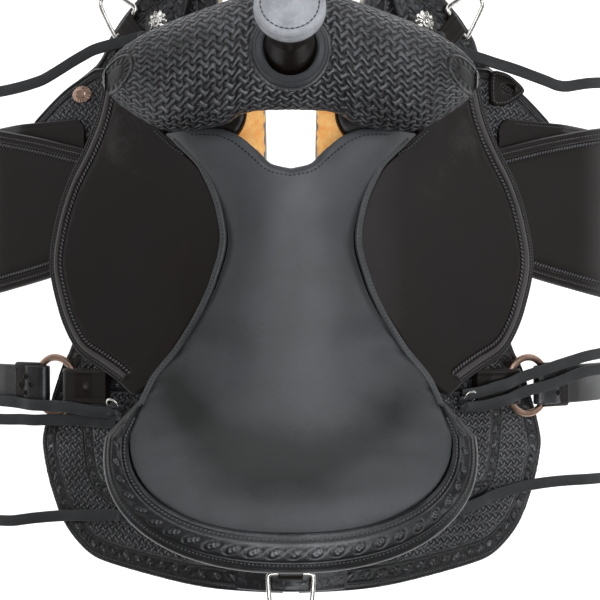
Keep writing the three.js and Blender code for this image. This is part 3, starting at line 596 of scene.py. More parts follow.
def timber(name):
    m, nodes, links, bsdf = nodes_of(name)
    grain = noise(nodes, links, 22.0, 8.0, 0.7, (1, 1, 7))
    r = ramp(nodes, links, grain.outputs["Fac"], [(0.3, (0.055, 0.028, 0.014)),
                                                  (0.55, (0.13, 0.068, 0.034)), (0.75, (0.21, 0.12, 0.06))])
    links.new(r.outputs["Color"], bsdf.inputs["Base Color"])
    bsdf.inputs["Roughness"].default_value = 0.42
    bumped(nodes, links, bsdf, grain.outputs["Fac"], 0.25, 0.0006)
    return m


# the tooled leather's lightest stop is set high, a painted highlight on the stamping's raised tops
TOOLED = leather("tooled_leather", (0.003, 0.003, 0.0032), (0.01, 0.01, 0.011), (0.115, 0.115, 0.125),
                 (0.21, 0.38), gain=0.42,
                 stamped=1.0)
SMOOTH = leather("smooth_leather", (0.0042, 0.0023, 0.0017), (0.0085, 0.0048, 0.0036),
                 (0.05, 0.044, 0.043), (0.34, 0.42),
                 bump=0.12, gain=0.5, shine=0.3, stops=(0.1, 0.68, 1.0))
SEAT = leather("seat_leather", (0.009, 0.0102, 0.0092), (0.041, 0.0432, 0.0455), (0.076, 0.08, 0.089),
               (0.42, 0.54), grain=1300, bump=0.22, gain=0.3, cloud=6)
LACE = leather("string_leather", (0.008, 0.009, 0.0095), (0.015, 0.016, 0.0175), (0.03, 0.032, 0.035),
               (0.5, 0.62), bump=0.35, cloud=30)
# the cap's colours are lightened as a painted sheen where its top catches the light
CAP = leather("cap_leather", (0.2, 0.205, 0.22), (0.36, 0.365, 0.39), (0.54, 0.55, 0.58), (0.42, 0.55),
              bump=0.5, gain=0.2, cloud=60)
THREAD = leather("black_thread", (0.035, 0.035, 0.037), (0.075, 0.075, 0.08), (0.14, 0.14, 0.145),
                 (0.45, 0.6), grain=2200, bump=0.5)
EDGE = leather("edge_leather", (0.004, 0.004, 0.004), (0.01, 0.01, 0.011), (0.03, 0.03, 0.032),
               (0.22, 0.32), bump=0.1)
# the russet lining glows a little, painted bounce light in the gullet
RUSSET = rough_hide("russet_leather", (0.85, 0.34, 0.08), (1.0, 0.6, 0.22), painted_bounce_glow=0.42)
RAWHIDE = rough_hide("rawhide", (0.42, 0.31, 0.17), (0.68, 0.56, 0.36), 0.55, 40.0, 0.3)
WOOL = wool("wool_fleece")
NICKEL = metal("nickel", (0.83, 0.81, 0.77), (0.5, 0.48, 0.45))
COPPER = metal("antique_copper", (0.62, 0.42, 0.32), (0.34, 0.22, 0.17), 0.3)
WOOD = timber("oiled_wood")


# ---------------------------------------------------------------- camera, light and floor
LIGHTS = (  # name, place, size and power
    ("key", (0.25, -0.55, 2.4), (2.0, 1.0), 30),
    ("top", (0.1, 1.1, 2.4), (1.6, 0.8), 20),
    ("front", (0.1, 2.6, 1.5), (1.8, 0.8), 16),
    ("left", (-2.2, 0.6, 1.3), (0.7, 1.6), 5),
    ("right", (2.2, 0.3, 1.5), (0.8, 1.8), 12),
)
FLOOR_HALF = 60.0
FLOOR_GAP = 0.004


def add_camera():
    data = bpy.data.cameras.new("camera")
    data.lens = 90
    data.sensor_width = 36
    data.clip_start = 0.05
    camera = bpy.data.objects.new("camera", data)
    camera.location = (0.009, 0, 1.5)
    bpy.context.scene.collection.objects.link(camera)
    bpy.context.scene.camera = camera


def add_lights():
    """Soft area lights that all face the saddle."""
    for name, spot, size, power in LIGHTS:
        light = bpy.data.lights.new(name, "AREA")
        light.shape = "RECTANGLE"
        light.size, light.size_y = size
        light.energy = power
        light.color = (0.95, 0.97, 1.0)
        lamp = bpy.data.objects.new(name, light)
        lamp.location = spot
        lamp.rotation_euler = (-Vector(spot)).to_track_quat("-Z", "Y").to_euler()
        bpy.context.scene.collection.objects.link(lamp)


def add_world():
    """A dim world that lights the saddle a little and looks white behind it."""
    world = bpy.data.worlds.new("studio")
    world.use_nodes = True
    nodes, join = world.node_tree.nodes, world.node_tree.links.new
    shade = nodes["Background"]
    shade.inputs["Color"].default_value = (1, 1, 1, 1)
    shade.inputs["Strength"].default_value = 0.1
    backdrop = nodes.new("ShaderNodeBackground")
    backdrop.inputs["Strength"].default_value = 0.93
    seen = nodes.new("ShaderNodeLightPath")
    choice = nodes.new("ShaderNodeMixShader")
    join(seen.outputs["Is Camera Ray"], choice.inputs[0])
    join(shade.outputs[0], choice.inputs[1])
    join(backdrop.outputs[0], choice.inputs[2])
    join(choice.outputs[0], nodes["World Output"].inputs["Surface"])
    bpy.context.scene.world = world
    bpy.context.scene.view_settings.view_transform = "Standard"


def add_floor():
    mesh = bpy.data.meshes.new("floor")
    z = CAD_BOX[0][2] - FLOOR_GAP
    corners = [(x * FLOOR_HALF, y * FLOOR_HALF, z) for x, y in ((-1, -1), (1, -1), (1, 1), (-1, 1))]
    mesh.from_pydata(corners, [], [(0, 1, 2, 3)])
    floor = bpy.data.objects.new("floor", mesh)
    pale, _, _, bsdf = nodes_of("pale_floor")
    bsdf.inputs["Base Color"].default_value = (0.9, 0.9, 0.9, 1)
    bsdf.inputs["Roughness"].default_value = 0.9
    bsdf.inputs["Emission Color"].default_value = (1, 1, 1, 1)
    bsdf.inputs["Emission Strength"].default_value = 0.8
    mesh.materials.append(pale)
    bpy.context.scene.collection.objects.link(floor)


add_camera()
add_lights()
add_world()
add_floor()

# ---------------------------------------------------------------- saddle strings, which are cords
STRING_WIDTH, STRING_THICKNESS = 12.0, 3.0
STRINGS = {
    "string_front_left": [
        (146, 270, 36), (158, 269, 37), (171, 267, 38.5), (192, 265, 40.5), (213, 262, 42),
        (228, 257, 43.5),
        (243, 251, 45.5), (262, 243, 47.5), (281, 236, 49), (297, 233, 49.5), (313, 231, 49.5),
        (340, 229, 49),
        (380, 228, 48), (430, 228, 47), (480, 227, 46.5), (530, 227, 46), (578, 226, 45.5)],
    "string_front_right": [
        (146, 261, 36), (160, 259, 37), (175, 257, 38.5), (190, 254, 40), (204, 252, 41), (218, 249, 43.5),
        (247, 244, 46.5), (270, 239, 49), (291, 235, 49.5), (306, 232, 49.5), (321, 232, 49.5),
        (342, 236, 49),
        (364, 240, 48.5), (392, 243, 47.5), (430, 244, 47), (480, 244, 46.5), (530, 244, 46),
        (572, 243, 45.5)],
    "string_mid_left_a": [
        (186, -116, 34), (195, -117, 37.5), (206, -117, 40), (220, -116, 43.5), (238, -114, 45),
        (254, -113, 47),
        (270, -113, 47), (286, -113, 48), (302, -113, 48), (320, -112, 45), (340, -111, 45),
        (375, -111, 43),
        (415, -112, 42), (460, -112, 40), (510, -113, 38), (560, -113, 36)],
    "string_mid_left_b": [
        (190, -128, 32.5), (200, -128, 33), (212, -128, 34), (225, -128, 34), (240, -127, 36),
        (256, -128, 38),
        (272, -128, 39), (288, -129, 40), (304, -130, 41), (322, -130, 41), (342, -131, 41),
        (378, -132, 40),
        (420, -132, 38), (465, -132, 36), (510, -132, 34), (548, -132, 33)],
    "string_mid_right_a": [
        (183, -98, 35), (191, -97, 41), (203, -95, 44), (219, -91, 46.5), (235, -88, 48), (250, -84, 46.5),
        (265, -80, 47), (286, -76, 47), (308, -71, 47), (334, -66, 46), (360, -61, 46), (390, -58, 45),
        (425, -57, 43), (470, -56, 41), (515, -56, 39), (556, -56, 37)],
    "string_mid_right_b": [
        (184, -112, 35), (193, -111, 41), (205, -110, 44), (220, -107, 46.5), (236, -104, 48),
        (250, -100, 47),
        (266, -96, 47.5), (287, -93, 47.5), (308, -89, 47.5), (334, -83, 46), (360, -78, 46),
        (390, -76, 45),
        (425, -75, 43), (470, -74, 41), (510, -74, 39), (545, -74, 37)],
    "string_rear_left": [
        (174, -222, 31), (186, -223, 30), (199, -224, 29.5), (221, -226, 29.5), (243, -228, 29.5),
        (272, -231, 29),
        (308, -236, 31), (326, -239, 32), (345, -242, 33), (380, -244, 34), (420, -245, 34),
        (470, -246, 33),
        (520, -246, 32), (566, -246, 31)],
    "string_rear_right": [
        (171, -218, 31.5), (184, -216, 31.5), (197, -214, 31), (212, -211, 30.5), (226, -207, 29.5),
        (244, -204, 29),
        (263, -201, 29), (288, -199, 30), (314, -198, 31), (342, -198, 32), (372, -199, 33),
        (410, -200, 34),
        (460, -201, 33), (510, -201, 32), (556, -201, 31)],
}


def spline(points, count):
    """A smooth curve through points (Catmull-Rom), count steps in each stretch."""
    p = np.array(points, float)
    p = np.concatenate([[2 * p[0] - p[1]], p, [2 * p[-1] - p[-2]]])
    t = (np.arange(count) / count)[:, None]
    out = []
    for i in range(1, len(p) - 2):
        a, b, c, d = p[i - 1:i + 3]
        out.append(0.5 * (2 * b + (c - a) * t + (2 * a - 5 * b + 4 * c - d) * t**2
                          + (3 * b - a - 3 * c + d) * t**3))
    return np.concatenate(out + [p[-2:-1]])


def loft(parts, rings, mat=0, relief=0.0, loop=False):
    """A closed body through rings of points, rings is (count, sides, 3)."""
    n, k = rings.shape[:2]
    faces = []
    for i in range(n if loop else n - 1):
        j = (i + 1) % n
        faces += [[i * k + a, i * k + (a + 1) % k, j * k + (a + 1) % k, j * k + a] for a in range(k)]
    if not loop:
        faces += [list(range(k))[::-1], [(n - 1) * k + a for a in range(k)]]
    r = relief.reshape(-1) if hasattr(relief, "reshape") else relief
    return parts.add(rings.reshape(-1, 3), faces, mat, r)


def tube(parts, path, wide, section, mat=0, relief=0.0, loop=False):
    """A body swept along path: wide is the section's first direction at each point."""
    if loop:
        t = np.roll(path, -1, 0) - np.roll(path, 1, 0)
    else:
        t = np.gradient(path, axis=0)
    t /= np.linalg.norm(t, axis=1)[:, None]
    wide = np.broadcast_to(wide, path.shape)
    wide = wide - (wide * t).sum(1)[:, None] * t
    wide /= np.linalg.norm(wide, axis=1)[:, None]
    high = np.cross(t, wide)
    s = np.array(section, float)
    rings = path[:, None] + wide[:, None] * s[None, :, :1] + high[:, None] * s[None, :, 1:]
    return loft(parts, rings, mat, relief, loop)


def oblong(half_width, half_height, corner=0.35, turns=3):
    """A rectangle's section with round corners."""
    r = min(half_width, half_height) * corner * 2
    r = min(r, half_width, half_height)
    out = []
    for cx, cy, start in ((1, 1, 0), (-1, 1, 90), (-1, -1, 180), (1, -1, 270)):
        for k in range(turns + 1):
            a = math.radians(start + 90 * k / turns)
            out.append((cx * (half_width - r) + r * math.cos(a), cy * (half_height - r) + r * math.sin(a)))
    return out


def round_section(radius, sides=12):
    return [(radius * math.cos(2 * math.pi * k / sides), radius * math.sin(2 * math.pi * k / sides))
            for k in range(sides)]


def make_strings():
    section = oblong(STRING_WIDTH / 2, STRING_THICKNESS / 2, 0.3, 2)
    for name, route in STRINGS.items():
        side = -1 if "left" in name else 1
        uyh = spline(route, 6)
        path = on(side, uyh[:, 0], uyh[:, 1], uyh[:, 2])
        t = np.gradient(path, axis=0)
        angle = barrel(uyh[:, 0])[2]
        out = np.stack([side * np.sin(angle), np.zeros(len(angle)), np.cos(angle)], 1)
        wide = np.cross(t, out)
        parts = tube(Parts(), path, wide, section)
        obj = piece(name + "_lace", parts, [LACE], replaces=name)


make_strings()


# ---------------------------------------------------------------- leather panels on the barrel
SKIRT_OUTLINE = [
    (5, -286, 1), (5, -242), (17, -212), (22.5, -190), (22.5, 190), (44, 238), (66, 285), (74, 350, 1),
    (92, 350),
    (126, 338), (160, 320), (188, 300), (202, 287), (213, 275), (219, 263), (232, 250), (277, 227),
    (314, 203),
    (326, 192), (327, 176), (324, 98), (318, 62), (300, 30), (282, 0), (269, -24), (265, -40), (270, -54),
    (281, -70), (296, -103), (308, -137), (311, -159), (299, -200), (277, -239), (250, -262),
    (224, -273), (160, -281), (90, -286)]
SIDE_JOCKEY_OUTLINE = [
    (146, -96), (128, -84), (96, -50), (71, -12), (57, 19), (50, 62), (53, 88), (71, 132), (108, 167),
    (112, 200),
    (130, 247, 1), (184, 247, 1), (192, 225), (203, 190), (220, 160), (245, 124), (263, 82), (271, 36),
    (258, -11),
    (243, -39), (225, -58), (196, -72), (172, -84), (154, -96)]
REAR_JOCKEY_OUTLINE = [
    (104, -216, 1), (176, -216), (222, -207), (238, -190), (246, -160), (249, -125), (252, -78, 1),
    (132, -78, 1), (124, -190)]
FRONT_JOCKEY_OUTLINE = [
    (122, 206, 1), (196, 206, 1), (203, 230), (202, 252), (189, 268), (163, 289), (144, 300), (114, 316),
    (98, 328),
    (84, 328, 1), (104, 270)]
RIGGING_OUTLINE = [
    (150, 132, 1), (322, 132, 1), (324, 176), (323, 192), (311, 203), (274, 227), (229, 246, 1),
    (150, 246, 1)]
FENDER_HALF = through([
    (150, 48), (220, 60), (290, 76), (345, 87), (400, 97), (450, 100), (520, 92), (585, 58), (610, 40),
    (645, 36)])


def fender_outline():
    u = np.array([150, 185, 220, 255, 290, 320, 345, 375, 400, 425, 450, 485, 520, 552, 585, 610, 645],
                 float)
    half = FENDER_HALF(u)
    front = [(a, FENDER_Y + w) for a, w in zip(u, half)]
    back = [(a, FENDER_Y - w) for a, w in zip(u, half)][::-1]
    pts = front + back
    ends = {0, len(front) - 1, len(front), len(pts) - 1}
    return [(*p, 1) if i in ends else p for i, p in enumerate(pts)]


def skirt_relief(a, b, d, s):
    return leaves(s, d, 13, 5.6, 17, 1.3) + groove(d, 6.8, 1, 0.8) + groove(d, 20.5, 1, 0.8) + bead(d,
            22.2, 1.0, 0.5)


JOCKEY_INNER = through([(-96, 150), (-50, 96), (-12, 71), (19, 57), (62, 50), (88, 53), (132, 71),
                        (167, 108), (200, 112), (247, 130)])


def outside(a, b):
    """One along the side jockey's outer edge, nothing along the edge beside the seat."""
    return step(a - JOCKEY_INNER(b), 32, 4)


def jockey_relief(a, b, d, s):
    swell = 0.5 * np.sin(a * 0.021 + 1) * np.cos(b * 0.017)
    # the tall bead also lightens the border's colour through the relief, a painted sheen
    border = groove(d, 5.4, 0.9, 0.7) + bead(d, 11.2, 3.0, 1.5) + groove(d, 17.4, 2.4, 1.1)
    return swell * step(d, 24, 8) + border * outside(a, b)


def rear_jockey_relief(a, b, d, s):
    return leaves(s, d, 10.5, 5.2, 17, 1.2) + groove(d, 3.6, 1, 0.8) + groove(d, 17.2, 1, 0.8) + bead(d,
            18.6, 1.0, 0.5)


def rigging_relief(a, b, d, s):
    return groove(d, 4.0, 1, 0.8) + groove(d, 11.5, 1, 0.8) + bead(d, 13.4, 1.0, 0.5)


def fender_relief(a, b, d, s):
    return groove(d, 3.2, 0.9, 0.6) + groove(d, 10.0, 0.9, 0.5) + bead(d, 12.0, 1.0, 0.6) + groove(d, 15.4,
            2.1, 1.0)


ROPE = (4.6, 2.3)  # length and width of the slanted stitches that look like a rope


def border_stitches(parts, side, outline, d, h, pitch, size, slant=0.0, mat=1, keep=None, tall=0.55):
    ring = offset(outline, d)
    jumps = np.linalg.norm(np.diff(np.concatenate([ring, ring[:1]]), axis=0), axis=1) > 12
    path, direction = even(ring, pitch)
    near = to_outline(path, outline)[0]
    ok = near > d - 0.5
    if keep is not None:
        ok &= keep(path[:, 0], path[:, 1])
    if jumps.any():
        ok &= near < d + 0.6
    place = lambda a, b, z: on(side, a, b, z)
    return stitches(parts, place, path[ok], direction[ok], h, size, slant, mat, tall)


def barrel_panel(name, side, filled, outline, low, high, relief, mats, replaces, body=BODY, rows=(),
                 keep=None,
                 weave=None):
    parts = Parts()
    panel(parts, lambda a, b, h: on(side, a, b, h), filled, low, high, relief, weave=weave)
    for d, pitch, size, slant in rows:
        tall = 0.55 if size[1] < ROPE[1] else 0.95
        border_stitches(parts, side, outline, d, high + 0.25, pitch, size, slant * side, 1, keep, tall)
    return piece(name, parts, mats, body, replaces)


def make_panels():
    skirt = closed(SKIRT_OUTLINE, 2.4)
    rear = lambda a, b: (b < -46) & ~((a < 232) & (b > -196))
    skirt_fill = fill(skirt, 9, (3, 5, 6.8, 9, 11, 13, 15, 17, 19, 20.5, 22.2, 23.4, 24.8), (1.5, rear))
    jockey = closed(SIDE_JOCKEY_OUTLINE, 2.2)
    jockey_fill = fill(jockey, 5, (1.2, 3, 4.4, 5.4, 6.6, 8.2, 9.8, 11.2, 12.8, 14.4, 15.8, 17.4, 19, 20.6))
    back = closed(REAR_JOCKEY_OUTLINE, 1.8)
    outer = lambda a, b: (a > 170) | (b < -170)
    back_fill = fill(back, 6, (1.4, 3.6, 5.5, 7.5, 9, 10.5, 12, 14, 16, 17.2, 18.6, 20.8), (1.5, outer))
    front = closed(FRONT_JOCKEY_OUTLINE, 1.8)
    front_fill = fill(front, 1.6, (1.4, 3.6, 5.5, 7.5, 9, 10.5, 12, 14, 16, 17.2, 18.6))
    rig = closed(RIGGING_OUTLINE, 1.8)
    seen = lambda a, b: a > 186
    rig_fill = fill(rig, 6, (1.4, 4, 6, 8.5, 11.5, 13.4, 14.4, 15.8), (1.5, seen))
    fender = closed(fender_outline(), 2.4)
    fender_fill = fill(fender, 7, (1.3, 3.2, 4.8, 6.6, 8.4, 10, 11, 12, 13.2, 14.2, 15.4, 16.6, 18))
    for word, side in SIDES:
        barrel_panel(f"skirt_{word}_leather", side, skirt_fill, skirt, 16.5, 21, skirt_relief,
                     [TOOLED, THREAD],
                     f"skirt_{word}", rows=[(4.8, 4.0, (2.8, 1.2), 0)],
                     weave=(4.6, 1, lambda a, b, d: step(d, 24, 1.5)))
        barrel_panel(f"side_jockey_{word}_leather", side, jockey_fill, jockey, 45.5, 50.5, jockey_relief,
                     [SMOOTH, THREAD], f"side_jockey_{word}",
                     rows=[(5.2, 3.5, (2.5, 1.3), 0), (17.4, 4.2, ROPE, 48)],
                     keep=lambda a, b: outside(a, b) > 0.5)
        barrel_panel(f"rear_jockey_{word}_leather", side, back_fill, back, 21.6, 25.6, rear_jockey_relief,
                     [TOOLED, THREAD], f"rear_jockey_{word}",
                     rows=[(2.4, 4.0, (2.7, 1.0), 0)],
                     weave=(4.6, 1, lambda a, b, d: step(d, 20, 1.5)))
        barrel_panel(f"front_jockey_{word}_leather", side, front_fill, front, 26, 30, rear_jockey_relief,
                     [TOOLED, THREAD], f"front_jockey_{word}",
                     rows=[(2.4, 4.0, (2.7, 1.0), 0)],
                     weave=(4.6, 1, lambda a, b, d: step(d, 20, 1.5)))
        barrel_panel(f"rigging_plate_{word}_leather", side, rig_fill, rig, 21.6, 25, rigging_relief,
                     [TOOLED, THREAD], f"rigging_plate_{word}",
                     rows=[(6.5, 4.2, (3.0, 1.1), 0), (9.2, 4.2, (3.0, 1.1), 0)],
                     weave=(4.8, 1, lambda a, b, d: step(d, 15, 1.5)))
        barrel_panel(f"fender_{word}_leather", side, fender_fill, fender, 36, 40.5, fender_relief,
                     [SMOOTH, THREAD], f"fender_{word}", f"fender_set_{word}",
                     rows=[(6.6, 4.0, (2.8, 1.5), 0), (15.4, 4.2, ROPE, 48)])


make_panels()


def ball(parts, centre, radii, mat=0, relief=0.0, rows=8, cols=16, axes=np.eye(3)):
    """A squashed ball; axes are its own three directions."""
    lat = np.linspace(-math.pi / 2 + 0.02, math.pi / 2 - 0.02, rows)
    lon = np.arange(cols) * 2 * math.pi / cols
    unit = np.stack([np.outer(np.cos(lat), np.cos(lon)), np.outer(np.cos(lat), np.sin(lon)),
                     np.outer(np.sin(lat), np.ones(cols))], -1)
    return loft(parts, np.asarray(centre) + (unit * np.asarray(radii)) @ np.asarray(axes), mat, relief)


def barrel_axes(side, u):
    """On the barrel at u: along y, down the slope, and square to it."""
    angle = float(barrel(u)[2])
    down = np.array([side * math.cos(angle), 0, -math.sin(angle)])
    out = np.array([side * math.sin(angle), 0, math.cos(angle)])
    return np.array([0.0, 1.0, 0.0]), down, out


# ---------------------------------------------------------------- swell and horn
FORK_TOP = through([(0, 117), (45, 113), (90, 102), (130, 88), (160, 70), (176, 54), (183, 47)])
FORK_UNDER = through([(0, 68), (30, 63), (55, 42), (74, 14), (108, 4), (140, 16), (160, 28), (176, 37),
                      (183, 41)])
FORK_REAR = through([
    (0, 179), (30, 178.5), (46, 176), (60, 169), (88, 165), (113, 163.5), (126, 166), (144, 175),
    (162, 187), (176, 199),
    (183, 209)])
FORK_FRONT = through([(0, 288), (60, 284), (95, 275), (134, 260), (160, 245), (176, 231), (183, 219)])
FORK_TURN = 62.0  # millimetres of skin for each radian round the fork


def fork_skin(a, b, h):
    reach, angle = np.abs(a), b / FORK_TURN
    half = (FORK_FRONT(reach) - FORK_REAR(reach)) / 2 + h
    tall = (FORK_TOP(reach) - FORK_UNDER(reach)) / 2 + h
    y = (FORK_FRONT(reach) + FORK_REAR(reach)) / 2 + half * np.cos(angle)
    bulge = np.sign(np.sin(angle)) * np.abs(np.sin(angle)) ** 0.9
    return np.stack([a, y, (FORK_TOP(reach) + FORK_UNDER(reach)) / 2 + tall * bulge], -1)


def end_patch(a, b):
    """Where a point is in the bare oval on the swell's end: how far out, one at its edge, and which way."""
    y = fork_skin(a, b, 0)[..., 1]
    out = (abs(a) - 168) / 17
    along = (y - 216 + 0.5 * (abs(a) - 168)) / 15
    return np.where(b > 0, np.hypot(out, along), 9), np.arctan2(along, out)


def from_horn(a, b):
    return np.where(b > 0, np.hypot(a, fork_skin(a, b, 0)[..., 1] - HORN["y"]), 99)


def swell_relief(a, b, d, s):
    e, way = end_patch(a, b)
    flutes = 0.55 * np.cos(15 * way) * step(e, 0.62, 0.12) * step(0.9, e, 0.1)
    oval = flutes - 1.1 - 0.5 * np.exp(-(((e - 0.54) / 0.06) ** 2))
    rim = 0.5 * np.exp(-(((e - 1.0) / 0.06) ** 2)) - 0.8 * np.exp(-(((e - 1.14) / 0.05) ** 2))
    return np.where(e < 1.3, oval * step(0.95, e, 0.08) + rim, 0)


def swell_weave(a, b, d):
    return step(end_patch(a, b)[0], 1.22, 0.1) * step(from_horn(a, b), 38.5, 1) * step(d, 5, 2)


def horn_turn(parts, profile, lean, mat=0, relief=0.0, sides=64, ripple=None):
    """A turned body about the horn's leaning axis."""
    tilt = math.radians(lean)
    lon = np.arange(sides) * 2 * math.pi / sides
    r, z = (np.array(c, float) for c in zip(*profile))
    if ripple is not None:
        r = r[:, None] + ripple(lon[None], z[:, None])
    else:
        r = np.repeat(r[:, None], sides, 1)
    x = r * np.cos(lon)
    y = r * np.sin(lon)
    zz = np.repeat(z[:, None], sides, 1)
    rings = np.stack([x, HORN["y"] + y * math.cos(tilt) + zz * math.sin(tilt),
                      HORN["z"] - y * math.sin(tilt) + zz * math.cos(tilt)], -1)
    return loft(parts, rings, mat, relief)


def make_swell():
    edge = FORK_TURN * math.radians(62)
    top = FORK_TURN * math.pi + edge
    outline = closed([(-183, -edge, 1), (0, -edge), (183, -edge, 1), (183, 100), (183, top, 1), (0, top),
                      (-183, top, 1), (-183, 100)], 2.6)
    filled = fill(outline, 1.5, (1.2,))
    parts = panel(Parts(), fork_skin, filled, -3.4, 0, swell_relief, edge=2, weave=(6.3, 0.85, swell_weave))
    for end in (-1, 1):
        lon = np.arange(40) * 2 * math.pi / 40
        shut = np.array([fork_skin(np.full(40, end * (182.0 + out)), lon * FORK_TURN, -1.2 - 1.1 * out)
                         for out in (-2, 0, 1, 2)])
        middle = shut[-1].mean(0)
        loft(parts, np.concatenate([shut, (middle + (shut[-1:] - middle) * 0.2) + [end * 1.0, 0, 0]]))
    piece("swell_cover_tooled", parts, [TOOLED], replaces="swell_cover")


CAP_BASE = HORN["length"]  # the cap starts this far up the horn's axis
COLLAR_SECTION = [
    (25.6, 12.5), (27.4, 13.4), (29.4, 12.2), (31.2, 11.2), (32.0, 10.0), (32.9, 10.5), (34.6, 8.8),
    (35.8, 5), (36.6, 1),
    (36.8, -5), (36, -9), (26, -9)]


def make_horn_neck():
    base, neck = HORN["base"], HORN["neck"]
    rows = np.linspace(-6, CAP_BASE + 3, 60)
    shape = through([(-6, base + 2), (14, base), (34, neck), (CAP_BASE, neck + 2),
                     (CAP_BASE + 3, neck + 2)])
    wound = lambda lon, z: 0.5 * np.abs(np.sin((z / 11.0 - lon / (2 * math.pi)) * math.pi)) ** 0.35 - 0.3
    parts = horn_turn(Parts(), list(zip(shape(rows), rows)), HORN["lean"], ripple=wound)
    piece("horn_neck_wrap", parts, [SMOOTH], replaces=("horn_wrap", "horn_core"))


def make_horn_cap():
    """The cap with its rolled rim and a ring of stitches round its top."""
    cap, tilt = HORN["cap"], math.radians(HORN["lean"])
    profile = [
        (2, 1), (HORN["neck"] + 3, 1), (cap - 3, 5.5), (cap - 0.8, 8), (cap, 11), (cap, 14),
        (cap - 1.2, 15.5),
        (cap - 1.5, 16.4), (cap - 0.2, 17.6), (cap - 0.6, 20), (cap - 2.4, 22), (cap - 5, 23.2),
        (cap - 6.5, 23.0),
        (cap - 8, 23.6), (cap - 12, 24.8), (cap - 20, 25.7), (3, 26)]
    fine = []
    for (r0, z0), (r1, z1) in zip(profile, profile[1:]):
        fine += [(r0 + (r1 - r0) * k / 3, CAP_BASE + z0 + (z1 - z0) * k / 3) for k in range(3)]
    parts = horn_turn(Parts(), fine + [(profile[-1][0], CAP_BASE + profile[-1][1])], HORN["lean"])

    def place(a, b, h):
        return np.stack([a, HORN["y"] + b * math.cos(tilt) + h * math.sin(tilt),
                         HORN["z"] - b * math.sin(tilt) + h * math.cos(tilt)], -1)
    lon = np.arange(34) * 2 * math.pi / 34
    ring = np.stack([np.cos(lon), np.sin(lon)], 1)
    along = np.stack([-ring[:, 1], ring[:, 0]], 1)
    stitches(parts, place, ring * (cap - 6.2), along, CAP_BASE + 23.4, (4.2, 1.5), 0, 1, 0.5)
    piece("horn_cap_leather", parts, [CAP, THREAD], replaces="horn_cap")


def make_horn_collar():
    """The roll round the horn's foot, which drops with the swell to both sides, front and back."""
    rings = []
    for turn in np.arange(72) * 2 * math.pi / 72:
        ring = []
        for r, z in COLLAR_SECTION:
            x, y = r * math.cos(turn), r * math.sin(turn)
            drop = 0.0012 * x ** 2 + 0.004 * max(0, abs(y) - 8) ** 2
            ring.append((x, HORN["y"] + y, HORN["z"] + z - drop))
        rings.append(ring)
    parts = loft(Parts(), np.array(rings), 0, 0.0, loop=True)
    piece("horn_collar_roll", parts, [SEAT], replaces="horn_collar")


make_swell()
make_horn_neck()
make_horn_cap()
make_horn_collar()


# ---------------------------------------------------------------- seat
SEAT_HALF = through([(-133, 158), (-83, 140), (-48, 113), (-12, 90), (19, 76), (60, 66), (88, 70),
                     (131, 88), (150, 105), (172, 128)])
SEAT_FRONT = through([(0, 128), (0.2, 132), (0.34, 147), (0.46, 162), (0.58, 169), (0.8, 171), (1, 170)])
SEAT_CENTRE = through([(-216, 116), (-195, 92), (-165, 69), (-120, 55), (-60, 50), (0, 51), (60, 57),
                       (128, 70)])
SEAT_EDGE = through([
    (-216, 114), (-175, 78), (-133, 40), (-100, 13), (-83, 5), (-48, 10), (-12, 28), (19, 35), (63, 38),
    (88, 37),
    (131, 28), (150, 17), (167, 2)])


def seat_half(y):
    return np.where(np.asarray(y) < SEAT_REAR_Y, SEAT_REAR_HALF, SEAT_HALF(y))


def seat_top(x, y):
    f = np.clip(np.abs(x) / seat_half(y), 0, 1)
    return SEAT_CENTRE(y) + (SEAT_EDGE(y) - SEAT_CENTRE(y)) * f ** 2.4


def seat_outline():
    y = np.linspace(SEAT_REAR_Y, 166, 46)
    right = np.stack([seat_half(y + 0.01), y], 1)
    f = np.linspace(0.985, -0.985, 71)
    yf = SEAT_FRONT(np.abs(f))
    front = np.stack([f * SEAT_HALF(yf), yf], 1)
    turn = np.linspace(-1, 1, 61) * math.pi / 2
    p = 2 / ROUND_POWER
    sine, cosine = np.sin(turn), np.cos(turn)
    rear = np.stack([np.sign(sine) * SEAT_REAR_HALF * np.abs(sine) ** p,
                     SEAT_REAR_Y - SEAT_REAR_DEPTH * cosine ** p], 1)
    left = right[::-1] * [-1, 1]
    return even(np.concatenate([right, front, left, rear[1:-1]]), 3.0)[0]


def inflate(obj, pressure, frames, cap):
    """Swells a pad as cloth under pressure, from its own mesh, and caps how far a point moves."""
    scene = bpy.context.scene
    solid = obj.data
    rest = np.zeros(len(solid.vertices) * 3, np.float32)
    solid.vertices.foreach_get("co", rest)
    cloth = obj.modifiers.new("cloth", "CLOTH")
    cloth.settings.use_pressure = True
    cloth.settings.uniform_pressure_force = pressure
    cloth.settings.tension_stiffness = 25
    cloth.settings.compression_stiffness = 25
    cloth.settings.bending_stiffness = 3
    cloth.settings.effector_weights.gravity = 0
    cloth.point_cache.frame_start = 1
    cloth.point_cache.frame_end = frames
    for f in range(1, frames + 1):
        scene.frame_set(f)
    shown = obj.evaluated_get(bpy.context.evaluated_depsgraph_get())
    moved = np.zeros(len(solid.vertices) * 3, np.float32)
    shown.data.vertices.foreach_get("co", moved)
    obj.modifiers.remove(cloth)
    scene.frame_set(1)
    rest, moved = rest.reshape(-1, 3), moved.reshape(-1, 3)
    push = moved - rest
    size = np.linalg.norm(push, axis=1)
    push *= (np.minimum(size, cap) / np.maximum(size, 1e-9))[:, None]
    solid.vertices.foreach_set("co", (rest + push).ravel())
    solid.update()


